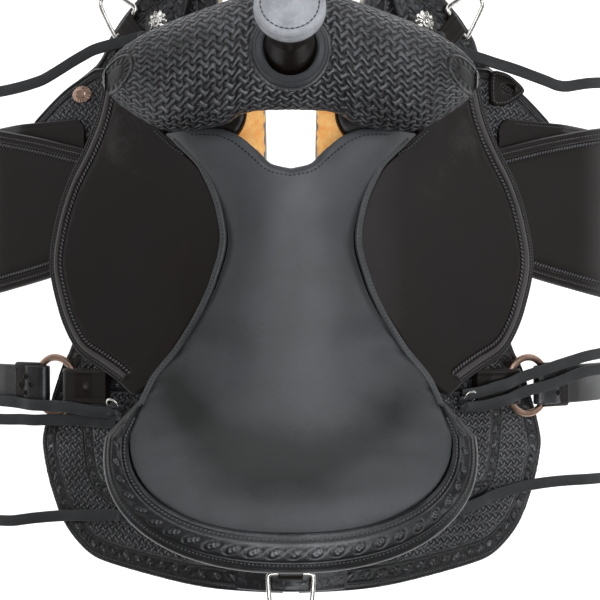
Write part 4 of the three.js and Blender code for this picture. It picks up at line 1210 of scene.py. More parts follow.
def make_seat():
    outline = seat_outline()
    p, tris, d, _ = fill(outline, 6.0, (2.5, 6))
    crown = seat_top(p[:, 0], p[:, 1]) - 1.5
    parts = Parts()
    n = len(p)
    top = np.stack([p[:, 0], p[:, 1], crown - 2.2 * np.clip(1 - d / 7, 0, 1) ** 2], 1)
    thick = 6 + 10 * np.clip(d / 22, 0, 1)
    low = top - [0, 0, 1] * thick[:, None]
    border = rim_edges(tris)
    # painted light and shade on the seat: a painted dark reflection in a crescent across its middle, and a
    # painted sheen that lightens the front and the rear rim
    painted_dark_reflection = np.exp(-(((p[:, 1] + 157 - 44 * (p[:, 0] / 100) ** 2) / 33) ** 2)) * step(128, abs(p[:, 0]),
            44)
    painted_light_and_shade = 0.35 * step(p[:, 1], -60, 90) - 1.5 * painted_dark_reflection + 0.3 * step(-188, p[:, 1], 24)
    parts.add(np.concatenate([top, low]), tris.tolist() + (tris[:, ::-1] + n).tolist()
              + [[j, i, i + n, j + n] for i, j in border], 0, np.concatenate([painted_light_and_shade, painted_light_and_shade]))
    obj = piece("seat_pad", parts, [SEAT], replaces=("seat",), sharp=180)
    inflate(obj, 3.5, 14, 0.0045)
    smooth = obj.modifiers.new("smooth", "SMOOTH")
    smooth.factor = 0.6
    smooth.iterations = 2
    round_off = obj.modifiers.new("round", "SUBSURF")
    round_off.levels = round_off.render_levels = 1
    done = bpy.data.meshes.new_from_object(obj.evaluated_get(bpy.context.evaluated_depsgraph_get()))
    obj.modifiers.clear()
    obj.data = done
    done.polygons.foreach_set("use_smooth", [True] * len(done.polygons))
    if not done.materials:
        done.materials.append(SEAT)
    return obj


SEAT_PAD = make_seat()
SEAT_TREE = BVHTree.FromPolygons([v.co[:] for v in SEAT_PAD.data.vertices],
                                 [p.vertices[:] for p in SEAT_PAD.data.polygons])


def on_seat(x, y, h):
    """The point over the seat's top face at (x, y), h above it, in millimetres."""
    out = []
    for a, b, c in zip(np.ravel(x), np.ravel(y), np.ravel(np.broadcast_to(h, np.shape(x)))):
        hit = SEAT_TREE.ray_cast(Vector((a * MM, b * MM, 0.4)), Vector((0, 0, -1)))[0]
        z = hit.z / MM if hit else float(seat_top(a, b))
        out.append((a, b, z + c))
    return np.array(out)


def make_seat_trim():
    outline = seat_outline()
    parts = Parts()
    inner = offset(outline, 9)
    path, direction = even(inner, 4.2)
    front = (path[:, 1] > 112) & (abs(path[:, 0]) < 98) & ((abs(direction[:, 0]) > 0.74)
                                                           | (abs(path[:, 0]) < 50))
    stitches(parts, on_seat, path[front], direction[front], 0.2, (3.0, 1.4), 0, 0, 0.7)
    piece("seat_front_stitching", parts, [EDGE])
    for word, side in SIDES:
        y = np.linspace(160, -104, 90)
        x = side * (seat_half(y) - 0.4)
        z = np.maximum(SEAT_EDGE(y) + 1.2, jockey_face(np.abs(x), y) + 1.6)
        strip = np.stack([x, y, z], 1)
        section = oblong(3.6, 2.4, 0.45, 3)
        welt = tube(Parts(), strip, np.array([side * 0.8, 0.0, -0.5]), section)
        q, direction = even(strip[:, :2], 3.9, loop=False)
        over = lambda a, b, h: np.stack([a, b, np.interp(-b, -y, z) + 2.0
                                         - 0.5 * side * (a - side * (seat_half(b) + 0.6)) + h], -1)
        out = np.stack([side * (seat_half(q[:, 1]) + 0.6), q[:, 1]], 1)
        stitches(welt, over, out, direction, 0.1, (3.0, 1.5), 45 * side, 1, 0.7)
        piece(f"seat_welt_{word}", welt, [SEAT, THREAD])
        # the stitched lip of the side jockey that shows beside the seat's front corner
        y = np.linspace(171, 147, 16)
        x = seat_half(y) + 6.5 - 4 * np.clip((156 - y) / 9, 0, 1)
        lip = np.stack([side * x, y, jockey_face(x, y) + 0.6], 1)
        parts = tube(Parts(), lip, np.array([side * 0.8, 0.0, -0.5]), oblong(1.5, 0.9, 0.5, 3))
        q, direction = even(lip[:, :2] + [side * 3.4, -1.5], 3.6, loop=False)
        face = lambda a, b, h: np.stack([a, b, jockey_face(np.abs(a), b) + h], -1)
        stitches(parts, face, q, direction, 0.3, (2.8, 1.5), 0, 1, 0.7)
        piece(f"jockey_lip_{word}", parts, [SMOOTH, THREAD])


def jockey_face(x, y):
    """How high the side jockey's face is where the plan point is (x, y)."""
    u = np.linspace(20, 290, 400)
    out = []
    for a, b in zip(x, y):
        line = on(1, u, np.full(400, b), np.full(400, 50.5))
        out.append(np.interp(a, line[:, 0], line[:, 2]))
    return np.array(out)


make_seat_trim()


def make_throat_rolls():
    """The padded black edges on each side of the hand hole, between the swell and the seat."""
    outline = closed([(44, 196, 1), (43, 181), (45, 172), (50, 163), (57, 157), (76, 160), (84, 196, 1)],
                     1.6)
    filled = fill(outline, 2.4, (1.2, 3))
    for word, side in SIDES:
        place = lambda a, b, h: np.stack([side * a, b, 44 - 0.22 * (a - 44) - 0.2 * (184 - b) * 0.5 + h],
                                         -1)
        parts = panel(Parts(), place, filled, -12, 0, edge=5)
        piece(f"throat_roll_{word}", parts, [SMOOTH])


make_throat_rolls()


# ---------------------------------------------------------------- cantle
ROLL_END = (ROLL_END_Y - SEAT_REAR_Y) / SEAT_REAR_DEPTH


def curve_pair(a):
    f, g = np.sin(a * math.pi / 2), np.cos(a * math.pi / 2)
    return f, np.maximum(g, 0)


def rim_point(a, outward):
    f, g = curve_pair(a)
    p = 2 / ROUND_POWER
    x = np.sign(f) * (SEAT_REAR_HALF + outward) * np.abs(f) ** p
    y = SEAT_REAR_Y - (SEAT_REAR_DEPTH + outward) * g ** p
    return np.stack(np.broadcast_arrays(x, y, 40 + 74 * g ** p), -1)


def base_point(a):
    f, g = curve_pair(a)
    p = 2 / ROUND_POWER
    return np.stack([np.sign(f) * 120 * np.abs(f) ** p, -130 - 76 * g ** p, -14 + 60 * g ** p], -1)


ROLL_SECTION = [
    (0.04, 1), (0.1, 3.4), (0.2, 5.4), (0.32, 6.6), (0.45, 7.2), (0.58, 6.6), (0.7, 5.2), (0.8, 3.4),
    (0.9, 1.2),
    (0.965, -1.2), (1.0, -6), (1.0, -9.5), (0.96, -12.5), (0.85, -15), (0.6, -12.5), (0.3, -9.5),
    (0.05, -6)]
ROLL_WIDTH = 37.0  # the tooling's widths are drawn for a roll this wide


def roll_line():
    """Along the roll: its turn round the seat, how far it is past the round part, and how wide it is."""
    t = np.linspace(-1 - ROLL_END, 1 + ROLL_END, 560)
    past = np.maximum(0, np.abs(t) - 1)
    width = 39.8 - 15 * np.abs(np.clip(t, -1, 1)) ** 1.5
    return t, past, width + (7 - width) * (past / ROLL_END)


def on_roll(t, past, across, lift):
    """Points at one place along the roll, across runs outward from the seat's edge."""
    p = rim_point(np.full(len(across), np.clip(t, -1, 1)), across - 1.6)
    p[:, 0] -= np.sign(t) * 11 * past / ROLL_END
    p[:, 1] += past * SEAT_REAR_DEPTH
    p[:, 2] += lift - past * 75
    return p


def roll_tooling(arc, c, scale):
    """The roll's pattern: a bead, a sunk row of stitches, leaves between two lines, and its outer edge."""
    inner = bead(c, 2.6 * scale, 1.2, 0.8) + groove(c, 6.6 * scale, 1.8, 1.1) + bead(c, 10.2 * scale, 0.9,
            0.5)
    band = leaves(arc, c, 17.5 * scale, 6.8 * scale, 20, 1.0) + groove(c, 25.5 * scale, 0.8, 0.7)
    outer = groove(c, 31.5 * scale, 0.8, 0.6) + bead(c, 34 * scale, 1.2, 0.2) - 0.7 * step(c, 37.2 * scale,
            2)
    return inner + band + outer


def roll_stitches(parts, line, section, across, pitch, size, slant, sunk):
    path = []
    for t, past, width in zip(*line):
        if abs(t) < 1 + ROLL_END * 0.5:
            scale = width / ROLL_WIDTH
            lift = np.interp(across * scale / width, section[:40, 0], section[:40, 1])
            path.append(on_roll(t, past, np.array([across * scale]), lift)[0])
    q, direction = even(np.array(path), pitch, loop=False)
    run = np.maximum(np.linalg.norm(direction[:, :2], axis=1), 1e-6)
    flat = direction[:, :2] / run[:, None]
    slope = direction[:, 2] / run

    def place(x, y, h):
        ahead = (x - q[:, 0]) * flat[:, 0] + (y - q[:, 1]) * flat[:, 1]
        return np.stack([x, y, h + ahead * slope], -1)
    stitches(parts, place, q[:, :2], flat, q[:, 2] + 0.1 - sunk, size, slant, 1)


def make_roll():
    section = spline(np.array(ROLL_SECTION + ROLL_SECTION[:3], float), 5)[5:-10]
    part, lift = section[:, 0], section[:, 1]
    line = roll_line()
    t, past, width = line
    middle = rim_point(np.clip(t, -1, 1), width * 0.5)
    arc = np.concatenate([[0], np.cumsum(np.linalg.norm(np.diff(middle, axis=0), axis=1))])
    arc += np.cumsum(np.concatenate([[0], np.abs(np.diff(past))])) * SEAT_REAR_DEPTH
    rings, relief = [], []
    for k in range(len(t)):
        fade = 1 - min(1, past[k] / ROLL_END * 1.2)
        tooling = roll_tooling(arc[k], part * width[k], width[k] / ROLL_WIDTH)
        tooling = np.where(lift > -4, tooling, 0) * fade
        rings.append(on_roll(t[k], past[k], part * width[k], lift * (0.6 + 0.4 * fade) + tooling))
        # the roll's underside is painted darker and rougher: painted shade, to dim the light it catches
        relief.append(np.where(lift > -1, tooling, -1.1))
    parts = loft(Parts(), np.array(rings), 0, np.array(relief))
    roll_stitches(parts, line, section, 6.6, 4.2, (3.1, 1.8), 24, 0.6)
    roll_stitches(parts, line, section, 28.6, 3.8, (2.6, 1.3), 0, 0)
    piece("cantle_roll_tooled", parts, [TOOLED, THREAD], replaces="cantle_roll")


def make_cantle_back():
    def wall(a, b, h):
        turn = a / 230.0
        v = b / 62.0
        rim = rim_point(turn, 17.0)
        base = base_point(turn)
        rim[..., 2] -= 12
        out = np.stack([rim[..., 0], rim[..., 1] - SEAT_REAR_Y - 20, np.zeros(np.shape(turn))], -1)
        out /= np.linalg.norm(out, axis=-1)[..., None]
        p = base + (rim - base) * np.asarray(v)[..., None]
        return p + out * (np.asarray(h) - 5 * np.sin(np.asarray(v) * math.pi))[..., None]

    def relief(a, b, d, s):
        return groove(d, 3.4, 1, 0.8) + groove(d, 12.0, 1, 0.8) + bead(d, 13.6, 1.0, 0.5)
    reach = 0.97 * 230
    outline = closed([(-reach, 0.5, 1), (0, 0.5), (reach, 0.5, 1), (reach, 57.6, 1), (0, 57.6),
                      (-reach, 57.6, 1)], 2.4)
    parts = panel(Parts(), wall, fill(outline, 1.7, (1.4, 3.4, 7, 12, 13.6, 15)), -2.4, 1.2, relief,
                  weave=(4.8, 1, lambda a, b, d: step(d, 15, 1.5)))
    ring = offset(outline, 7)
    path, direction = even(ring, 4.2)
    stitches(parts, wall, path, direction, 1.4, (3.0, 1.1))
    piece("cantle_back_tooled", parts, [TOOLED, THREAD], replaces="cantle_back")


make_roll()
make_cantle_back()


# ---------------------------------------------------------------- straps
def ribbon(parts, place, path, centre, half, thick, relief=None, mat=0, across=16, spacing=3.0):
    """A strap with rounded edges: path is its middle line as (q, h), place(q, p, h) puts it in space."""
    q, t = even(np.array(path, float), spacing, loop=False)
    arc = np.concatenate([[0], np.cumsum(np.linalg.norm(np.diff(q, axis=0), axis=1))])
    up = np.stack([-t[:, 1], t[:, 0]], 1)
    w = np.sin(np.linspace(-0.5, 0.5, across + 1) * math.pi)
    wide = np.array([half(s) if callable(half) else half for s in arc], float)
    r = thick / 2
    into = np.clip((np.abs(w)[None] * wide[:, None] - (wide[:, None] - r)) / r, 0, 1)
    side = r * np.sqrt(1 - into**2)
    lift = relief(arc[:, None], w[None] * wide[:, None], wide[:, None]) if relief else np.zeros(side.shape)
    lift = lift * (into <= 0)
    top, low = side + lift, -side
    rings, marks = [], []
    for k in range(len(q)):
        offs = np.concatenate([top[k], low[k][::-1][1:-1]])
        p = np.concatenate([w, w[::-1][1:-1]]) * wide[k]
        rings.append(place(q[k, 0] + up[k, 0] * offs, centre + p, q[k, 1] + up[k, 1] * offs))
        marks.append(np.concatenate([lift[k], np.zeros(across - 1)]))
    return loft(parts, np.array(rings), mat, np.array(marks))


def strap_stitches(parts, place, path, centre, inset_half, thick, pitch=4.2, size=(3.0, 1.1), mat=1):
    q, t = even(np.array(path, float), pitch, loop=False)
    up = np.stack([-t[:, 1], t[:, 0]], 1)
    for way in (-1, 1):
        base = q + up * (thick / 2 + 0.15)
        direction = np.stack([t[:, 0], np.zeros(len(t))], 1)
        flat = np.stack([base[:, 0], np.full(len(q), centre + way * inset_half)], 1)
        slope = t[:, 1] / np.where(np.abs(t[:, 0]) < 1e-6, 1e-6, t[:, 0])
        at = lambda a, b, h: place(a, b, h + (a - base[:, 0]) * slope)
        stitches(parts, at, flat, direction / np.maximum(np.linalg.norm(direction, axis=1), 1e-9)[:, None],
                 base[:, 1], size, 0, mat)


def on_side(side):
    return lambda u, y, h: on(side, u, y, h)


def on_axes(centre, first, second, third):
    """Places (a, b, h) along three directions from a point."""
    return lambda a, b, h: (centre + np.outer(a, first) + np.outer(b, second)
                            + np.outer(np.broadcast_to(h, np.shape(a)), third))


def squared(wave, power):
    """Bends a sine or cosine so that a circle made of two turns into a rectangle with round corners."""
    return np.sign(wave) * np.abs(wave) ** (2 / power)


def edged(arc, w, half):
    gap = half - np.abs(w)
    return groove(gap, 3.4, 0.8, 0.5) + bead(gap, 5.2, 0.9, 0.35)


def tooled_strap(arc, w, half):
    return edged(arc, w, half) + leaves(arc, w, 0, 8.5, 19, 0.9) + groove(np.abs(w), half - 9, 0.8, 0.4)


def punched(first, gap, count):
    def relief(arc, w, half):
        out = edged(arc, w, half)
        for k in range(count):
            out = out - 1.5 * np.exp(-(((arc - first - k * gap) ** 2 + w ** 2) / 7.0) ** 2)
        return out
    return relief


CINCH_Y = 172.0
STRAP_THICK = 3.4
CINCH_FALL = through([(240, 26), (330, 26), (375, 16), (450, 6), (620, 4)])
BILLET_FALL = through([(340, 0), (400, -8), (520, -22), (900, -24)])


def cinch_half(arc):
    """Half the cinch strap's width, rounded at its sewn end and narrower at its foot."""
    foot = 22 - 6 * np.clip((arc - 375) / 25, 0, 1) ** 2
    return foot * math.sqrt(1 - 0.85 * max(0.0, 1 - arc / 15) ** 2)


def make_cinch_strap(word, side):
    name = "latigo_left" if side < 0 else "off_billet_right"
    u = np.linspace(240, 620, 64)
    path = np.stack([u, CINCH_FALL(u) + 1.8], 1)
    relief = punched(300, 40, 1) if side < 0 else punched(120, 30, 8)
    parts = ribbon(Parts(), on_side(side), path, CINCH_Y, cinch_half, 3.6, relief, spacing=2.4)
    if side > 0:
        strap_stitches(parts, on_side(side), path[4:], CINCH_Y, 17.5, 3.6)
    piece(name + "_strap", parts, [SMOOTH, THREAD], f"cinch_strap_{word}", name)


def fold(way, half, far):
    """The middle line of a strap folded round the rear ring, both plies running away from it."""
    wire = RING["half"] + 0.8
    reach = math.sqrt(RING["inner"] ** 2 - half ** 2) - 1.6
    bend = STRAP_THICK / 2 + 3.6
    turn = [(reach - STRAP_THICK / 2 + bend - bend * math.sin(k), bend * math.cos(k))
            for k in np.linspace(0.2, math.pi - 0.2, 7)]
    runs = np.arange(56, far + 1, 20.0)
    top = [(r, STRAP_THICK / 2) for r in runs[::-1]] + [(48, 3.2), (36, wire + STRAP_THICK / 2)]
    under = [(r, -h) for r, h in reversed(top)]
    points = [(RING["u"] + way * r, h) for r, h in top + turn + under]
    return np.array([(u, RING["h"] + h + float(BILLET_FALL(u))) for u, h in points])


def strap_face(side, u, y, above):
    """On a strap over the rear ring at u: along y, down, out, and a point above its middle line."""
    ey, down, out = barrel_axes(side, u)
    return ey, down, out, on(side, u, y, RING["h"] + float(BILLET_FALL(u)) + above)


def make_rear_billet(word, side):
    parts = ribbon(Parts(), on_side(side), fold(1, 21, 336), RING["y"], 21, STRAP_THICK, tooled_strap,
                   across=22,
                   spacing=2.4)
    piece(f"rear_billet_{word}_strap", parts, [TOOLED, THREAD], f"billet_body_{word}",
          f"rear_billet_{word}")


def make_billet_loop(word, side):
    """The tooled loop that holds the folded billet's two plies together."""
    ey, down, out, centre = strap_face(side, RING["u"] + 39, RING["y"], 0)
    turn = np.linspace(0, 2 * math.pi, 96, endpoint=False)
    path = centre + np.outer(squared(np.cos(turn), 8) * 23.0,
                             ey) + np.outer(squared(np.sin(turn), 5) * 4.9, out)
    parts = tube(Parts(), path, down, oblong(19, 1.2, 0.5, 3), loop=True)
    at = on_axes(centre + out * 6.1, down, ey, out)
    across = np.arange(-18, 19, 3.8)
    for row in (-16.0, 16.0):
        threads = np.stack([np.full(len(across), row), across], 1)
        stitches(parts, at, threads, np.tile([0.0, 1.0], (len(across), 1)), 0.2, (2.8, 1.2), 0, 2)
    for a, b in ((-7.5, 0), (7.5, 0), (0, -9), (0, 9)):
        rosette(parts, on_axes(at([a], [b], 0)[0], down, ey, out), 5.2, 1.0, 4, 0, 0.4, 1.0, 0.4)
    piece(f"billet_loop_{word}", parts, [SMOOTH, EDGE, THREAD], f"billet_body_{word}")


def make_rear_holder(word, side):
    """The short strap that holds the rear ring to the skirt, with a ring mark pressed into it."""
    mark = lambda arc, w, half: 1.6 * np.exp(-(((arc - 27) ** 2 + w ** 2) / 8.0) ** 2) - edged(arc, w, half)
    parts = ribbon(Parts(), on_side(side), fold(-1, 19, 84), RING["y"], 19, STRAP_THICK, mark, spacing=2.4)
    ey, down, out, centre = strap_face(side, RING["u"] - 46, RING["y"] + 3, 3.6)
    turn = np.linspace(0, 2 * math.pi, 28, endpoint=False)
    ring = centre + 3.4 * (np.outer(np.cos(turn), ey) + np.outer(np.sin(turn), down))
    tube(parts, ring, out, round_section(0.8, 8), 1, loop=True)
    # a flat dark disc inside the ring: painted shade standing in for the dark inside the strap's hole
    ball(parts, centre, (3.0, 3.0, 0.5), 2, axes=np.array([ey, down, out]))
    piece(f"rear_rigging_{word}_strap", parts, [SMOOTH, THREAD, EDGE], BODY,
          f"rear_rigging_strap_{word}")


def make_stirrup_leather(word, side):
    """The wide leather that runs down under the fender and turns up round the stirrup's bolt."""
    down = [(a, 33.5) for a in np.linspace(101, 680, 110)]
    turn = [(BOLT_U + 11.5 * math.cos(k), BOLT_H + 11.5 * math.sin(k))
            for k in np.linspace(-math.pi / 2, math.pi / 2, 13)]
    path = np.array(down + turn + [(690, 56.5), (662, 56.5)])
    half = lambda s: math.sqrt(36.0**2 - max(0, 135 - 101 - s) ** 2) if s < 34 else 36.0
    parts = ribbon(Parts(), on_side(side), path, FENDER_Y, half, 4, edged, spacing=3.5)
    strap_stitches(parts, on_side(side), path[70:108], FENDER_Y, 31, 4)
    piece(f"stirrup_leather_{word}_strap", parts, [SMOOTH, THREAD], f"fender_set_{word}",
          f"stirrup_leather_{word}")


def make_hobble(word, side):
    """The strap round the stirrup leather and the fender's foot, with its buckle."""
    ey, down, out = barrel_axes(side, 616)
    centre = on(side, 616, FENDER_Y, 36)
    turn = np.linspace(0, 2 * math.pi, 96, endpoint=False)
    path = centre + np.outer(squared(np.cos(turn), 7) * 44.2,
                             ey) + np.outer(squared(np.sin(turn), 5) * 6.95, out)
    parts = tube(Parts(), path, down, oblong(12, 1.6, 0.5, 3), 0, 0.0, loop=True)
    at = on_axes(centre + out * 8.6, down, ey, out)
    across = np.arange(-36, 37, 4.2)
    for row in (-9.2, 9.2):
        threads = np.stack([np.full(len(across), row), across], 1)
        stitches(parts, at, threads, np.tile([0.0, 1.0], (len(across), 1)), 0.35, (3.0, 1.1))
    piece(f"hobble_{word}_strap", parts, [SMOOTH, THREAD], f"fender_set_{word}",
          f"hobble_strap_{word}")
    rim = at(squared(np.sin(turn), 5) * 14.5, squared(np.cos(turn), 5) * 9.5, 1.6)
    parts = tube(Parts(), rim, out, round_section(1.7, 10), loop=True)
    tongue = at(np.zeros(12), np.linspace(-9.5, 10.5, 12), 2.4)
    tube(parts, tongue, down, round_section(1.2, 8))
    piece(f"hobble_{word}_buckle", parts, [NICKEL], f"fender_set_{word}")


def make_straps():
    for word, side in SIDES:
        make_cinch_strap(word, side)
        make_rear_billet(word, side)
        make_billet_loop(word, side)
        make_rear_holder(word, side)
        make_stirrup_leather(word, side)
        make_hobble(word, side)


# ---------------------------------------------------------------- rings, dees and conchos
def closed_spline(points, count):
    p = np.array(points, float)
    p = np.concatenate([p[-1:], p, p[:2]])
    t = (np.arange(count) / count)[:, None]
    out = []
    for i in range(1, len(p) - 2):
        a, b, c, d = p[i - 1:i + 3]
        m0, m1 = 0.35 * (c - a), 0.35 * (d - b)
        out.append((2 * t**3 - 3 * t**2 + 1) * b + (t**3 - 2 * t**2 + t) * m0 + (3 * t**2 - 2 * t**3) * c
                   + (t**3 - t**2) * m1)
    return np.concatenate(out)


def make_rear_ring(word, side):
    ey, down, _ = barrel_axes(side, RING["u"])
    centre = on(side, RING["u"], RING["y"], RING["h"])
    turn = np.linspace(0, 2 * math.pi, 112, endpoint=False)
    radial = np.outer(np.cos(turn), ey) + np.outer(np.sin(turn), down)
    middle, half_band = (RING["outer"] + RING["inner"]) / 2, (RING["outer"] - RING["inner"]) / 2
    section = oblong(half_band, RING["half"], 0.45, 4)
    parts = tube(Parts(), centre + radial * middle, radial, section, loop=True)
    piece(f"rear_ring_{word}_plate", parts, [COPPER], f"ring_body_{word}", f"rear_ring_{word}")


def make_breast_dee(word, side):
    """The dee on the front of the skirt, its bar turned half way between forward and down, and its tab."""
    ey, down, out = barrel_axes(side, 182)
    centre = on(side, 182, 288, 25.2)
    plan = closed_spline([(-16, 0), (16, 0), (19, 6), (10, 42), (0, 46), (-10, 42), (-19, 6)], 9)
    half_turn = math.sqrt(0.5)
    bar, away = (ey - down) * half_turn, (ey + down) * half_turn
    path = centre + np.outer(plan[:, 0], bar) + np.outer(plan[:, 1], away)
    parts = tube(Parts(), path, out, round_section(2.6, 14), loop=True)
    piece(f"breast_dee_{word}_wire", parts, [NICKEL], f"breast_dee_body_{word}",
          f"breast_dee_{word}")
    wrap = [(3.9 * math.sin(k), 3.9 * math.cos(k)) for k in np.linspace(0.3, math.pi - 0.3, 9)]
    line = [(-34, 5.0), (-20, 4.6), (-8, 4.4)] + wrap + [(-6, -3.2), (-14, -2.4)]
    parts = ribbon(Parts(), on_axes(centre, away, bar, out), line, 0, 12.5, 2.4, edged, spacing=1.6)
    piece(f"breast_tab_{word}", parts, [SMOOTH], BODY)


def make_crupper_dee():
    plan = closed_spline([(-19, 0), (0, 0), (19, 0), (22, 6), (18, 38), (0, 46), (-18, 38), (-22, 6)], 9)
    path = np.stack([plan[:, 0], -266 - plan[:, 1], np.full(len(plan), 42.5)], 1)
    parts = tube(Parts(), path, np.array([0.0, 0.0, 1.0]), round_section(2.5, 14), loop=True)
    piece("crupper_dee_wire", parts, [NICKEL], "crupper_dee_body", "crupper_dee")
    over = lambda q, p, h: np.stack([p, q, h], -1)
    line = [(-246, 37.5), (-254, 41.0), (-260, 45.4), (-265, 47.5), (-269.4, 46.3), (-271.2, 42.5),
            (-269.5, 39.1),
            (-264, 37.7), (-254, 37.0)]
    parts = ribbon(Parts(), over, spline(line, 4), 0, 12, 2.2, edged, spacing=1.6)
    piece("crupper_tab", parts, [SMOOTH], BODY)


def make_crupper_plate():
    outline = closed([(-48, -262, 1), (-48, -281), (-44, -284), (44, -284), (48, -281), (48, -262, 1),
                      (30, -250),
                      (-30, -250)], 1.8)
    ridge = lambda a, b, h: on(1, np.abs(a), b, h) * np.where(np.stack([a, a, a], -1) * [1, 0, 0] < 0, -1,
            1)
    relief = lambda a, b, d, s: groove(d, 2.6, 0.7, 0.5) + leaves(s, d, 7.6, 3.6, 12, 0.7) + groove(d, 12,
            0.7, 0.4)
    parts = panel(Parts(), ridge, fill(outline, 2, (1, 2.6, 6, 7.6, 9.2)), 21.3, 24.0, relief)
    piece("crupper_plate", parts, [TOOLED], BODY)


def make_rings():
    for word, side in SIDES:
        make_rear_ring(word, side)
        make_breast_dee(word, side)
    make_crupper_dee()
    make_crupper_plate()


def rosette(parts, place, radius, tall, lobes, mat, depth=0.14, power=1.0, flute=0.8):
    """A domed flower: place(a, b, h) puts its plan in space."""
    lon = np.arange(96) * 2 * math.pi / 96
    rings, marks = [], []
    for r in (0.02, 0.15, 0.3, 0.42, 0.46, 0.5, 0.62, 0.74, 0.86, 0.95, 1.0, 1.0):
        wave = 1 + depth * np.abs(np.cos(lobes * lon / 2)) ** power - depth
        reach = radius * r * (1 + (wave - 1) * r)
        dome = tall * (1 - r**2) ** 0.7 if r < 1 else 0
        line = flute * np.abs(np.sin(lobes * lon / 2)) * -np.clip((r - 0.42) * 3, 0, 1) * (r < 1)
        h = dome + line + (0.9 * math.exp(-((r - 0.46) / 0.03) ** 2))
        if len(rings) == 11:
            h = np.full(len(lon), -1.2)
        rings.append(place(reach * np.cos(lon), reach * np.sin(lon), h + 0 * lon))
        marks.append(h + 0 * lon - dome)
    return loft(parts, np.array(rings), mat, np.array(marks))


def flat_at(side, u, y, h, stretch=(1.0, 1.0)):
    ey, down, out = barrel_axes(side, u)
    return on_axes(on(side, u, y, h), down * stretch[0], ey * stretch[1], out)


def make_star_concho(word, side):
    disc = rosette(Parts(), flat_at(side, 132, 283, 30.6), 20, 1.6, 14, 0, 0.1, 0.7, 0.3)
    piece(f"star_rosette_{word}", disc, [TOOLED], BODY)
    star = rosette(Parts(), flat_at(side, 132, 283, 33.2), 12.5, 4.0, 10, 0, 0.24, 0.8, 1.3)
    ball(star, on(side, 132, 283, 37.4), (3.2, 3.2, 1.8), axes=np.array(barrel_axes(side, 132)))
    piece(f"star_concho_{word}_cast", star, [NICKEL], BODY, f"star_concho_{word}")


def make_oval_concho():
    disc = rosette(Parts(), flat_at(-1, 246, 220, 26.6, (1.0, 0.64)), 14, 2.2, 18, 0, 0.05, 1.0, 0.5)
    piece("oval_concho_cast", disc, [COPPER], BODY, "oval_concho")


def make_keeper_leaf():
    """The leaf with a slot that the latigo's end tucks into."""
    place = flat_at(1, 252, 226, 25.4)
    outline = closed([(-22, -16), (-6, -18.5), (9, -13), (26, 0), (10, 12.5), (-6, 17.5), (-22, 15)], 1.2)
    slot = closed([(-9, 0), (-6, -3.4), (2, -5), (10, -3.4), (13, 0), (10, 3.4), (2, 5), (-6, 3.4)], 1.2)
    relief = lambda a, b, d, s: groove(d, 2.4, 0.6, 0.5) + bead(d, 4.0, 0.7, 0.4)
    parts = panel(Parts(), place, fill(outline, 1.8, (1.0, 2.4, 4.0), holes=(slot,)), 0, 4, relief,
                  edge=1.2)
    path, direction = even(offset(outline, 3.2), 4.0)
    stitches(parts, place, path, direction, 4.2, (2.7, 1.7), 0, 1, 0.8)
    piece("latigo_keeper_leaf", parts, [SMOOTH, THREAD], BODY, "latigo_keeper")


def make_conchos():
    for word, side in SIDES:
        make_star_concho(word, side)
    make_oval_concho()
    make_keeper_leaf()


def knot(parts, side, u, y, h, size=1.0):
    """A flat lace tied over itself."""
    ey, down, out = barrel_axes(side, u)
    centre = on(side, u, y, h)
    t = np.linspace(0, 2 * math.pi, 60, endpoint=False)
    a, b, z = 7.5 * np.sin(2 * t), 5.5 * np.cos(t) * (1 + 0.25 * np.cos(2 * t)), 1.7 * np.cos(3 * t)
    path = on_axes(centre, down, ey, out)(size * a, size * b, size * z)
    return tube(parts, path, out, oblong(1.2 * size, 3.1 * size, 0.5, 2), loop=True)


def make_knots():
    for word, side in SIDES:
        y = -112 if side < 0 else -104
        parts = knot(Parts(), side, 187, y - 4, 37)
        knot(parts, side, 148, 266, 37.5, 0.9)
        knot(parts, side, 176, -221, 33, 0.9)
        piece(f"string_knots_{word}", parts, [LACE], BODY)
        ey, down, out = barrel_axes(side, 190)
        turn = np.linspace(0, 2 * math.pi, 40, endpoint=False)
        centre = on(side, 189, y + 3, 38.5)
        tip = out * 0.6 + ey * 0.8
        path = centre + 7.5 * (np.outer(np.cos(turn), down) + np.outer(np.sin(turn), tip))
        ring = tube(Parts(), path, np.cross(down, tip), round_section(1.3, 10), loop=True)
        piece(f"string_ring_{word}", ring, [NICKEL], BODY)


# ---------------------------------------------------------------- stirrups
TREAD_C = 111.5  # how far the tread's middle line is below the bolt
STIRRUP_SIDE = [
    (-51.8, -9.5), (-53, 10), (-57.5, 50), (-60.6, 80), (-60.0, 92), (-55, 103), (-46, 109.5),
    (-35, TREAD_C), (0, TREAD_C)]
STIRRUP_LINE = STIRRUP_SIDE + [(-a, c) for a, c in reversed(STIRRUP_SIDE[:-1])]
NUT_PROFILE = [(60.6, 9.4), (61.0, 10.4), (66.2, 10.4), (66.8, 9.0), (70, 7.6), (73.0, 4.6), (74.6, 1.2)]
ROLLER_PROFILE = [(-42, 6.4), (-42, 8.4), (-40, 9.0), (0, 8.8), (40, 9.0), (42, 8.4), (42, 6.4)]


def bolt_circle(at, reach, radius, count):
    """A circle round the bolt's axis, radius is one number or one for each point."""
    turn = np.arange(count) * 2 * math.pi / count
    return at(np.full(count, reach), radius * np.cos(turn), radius * np.sin(turn))


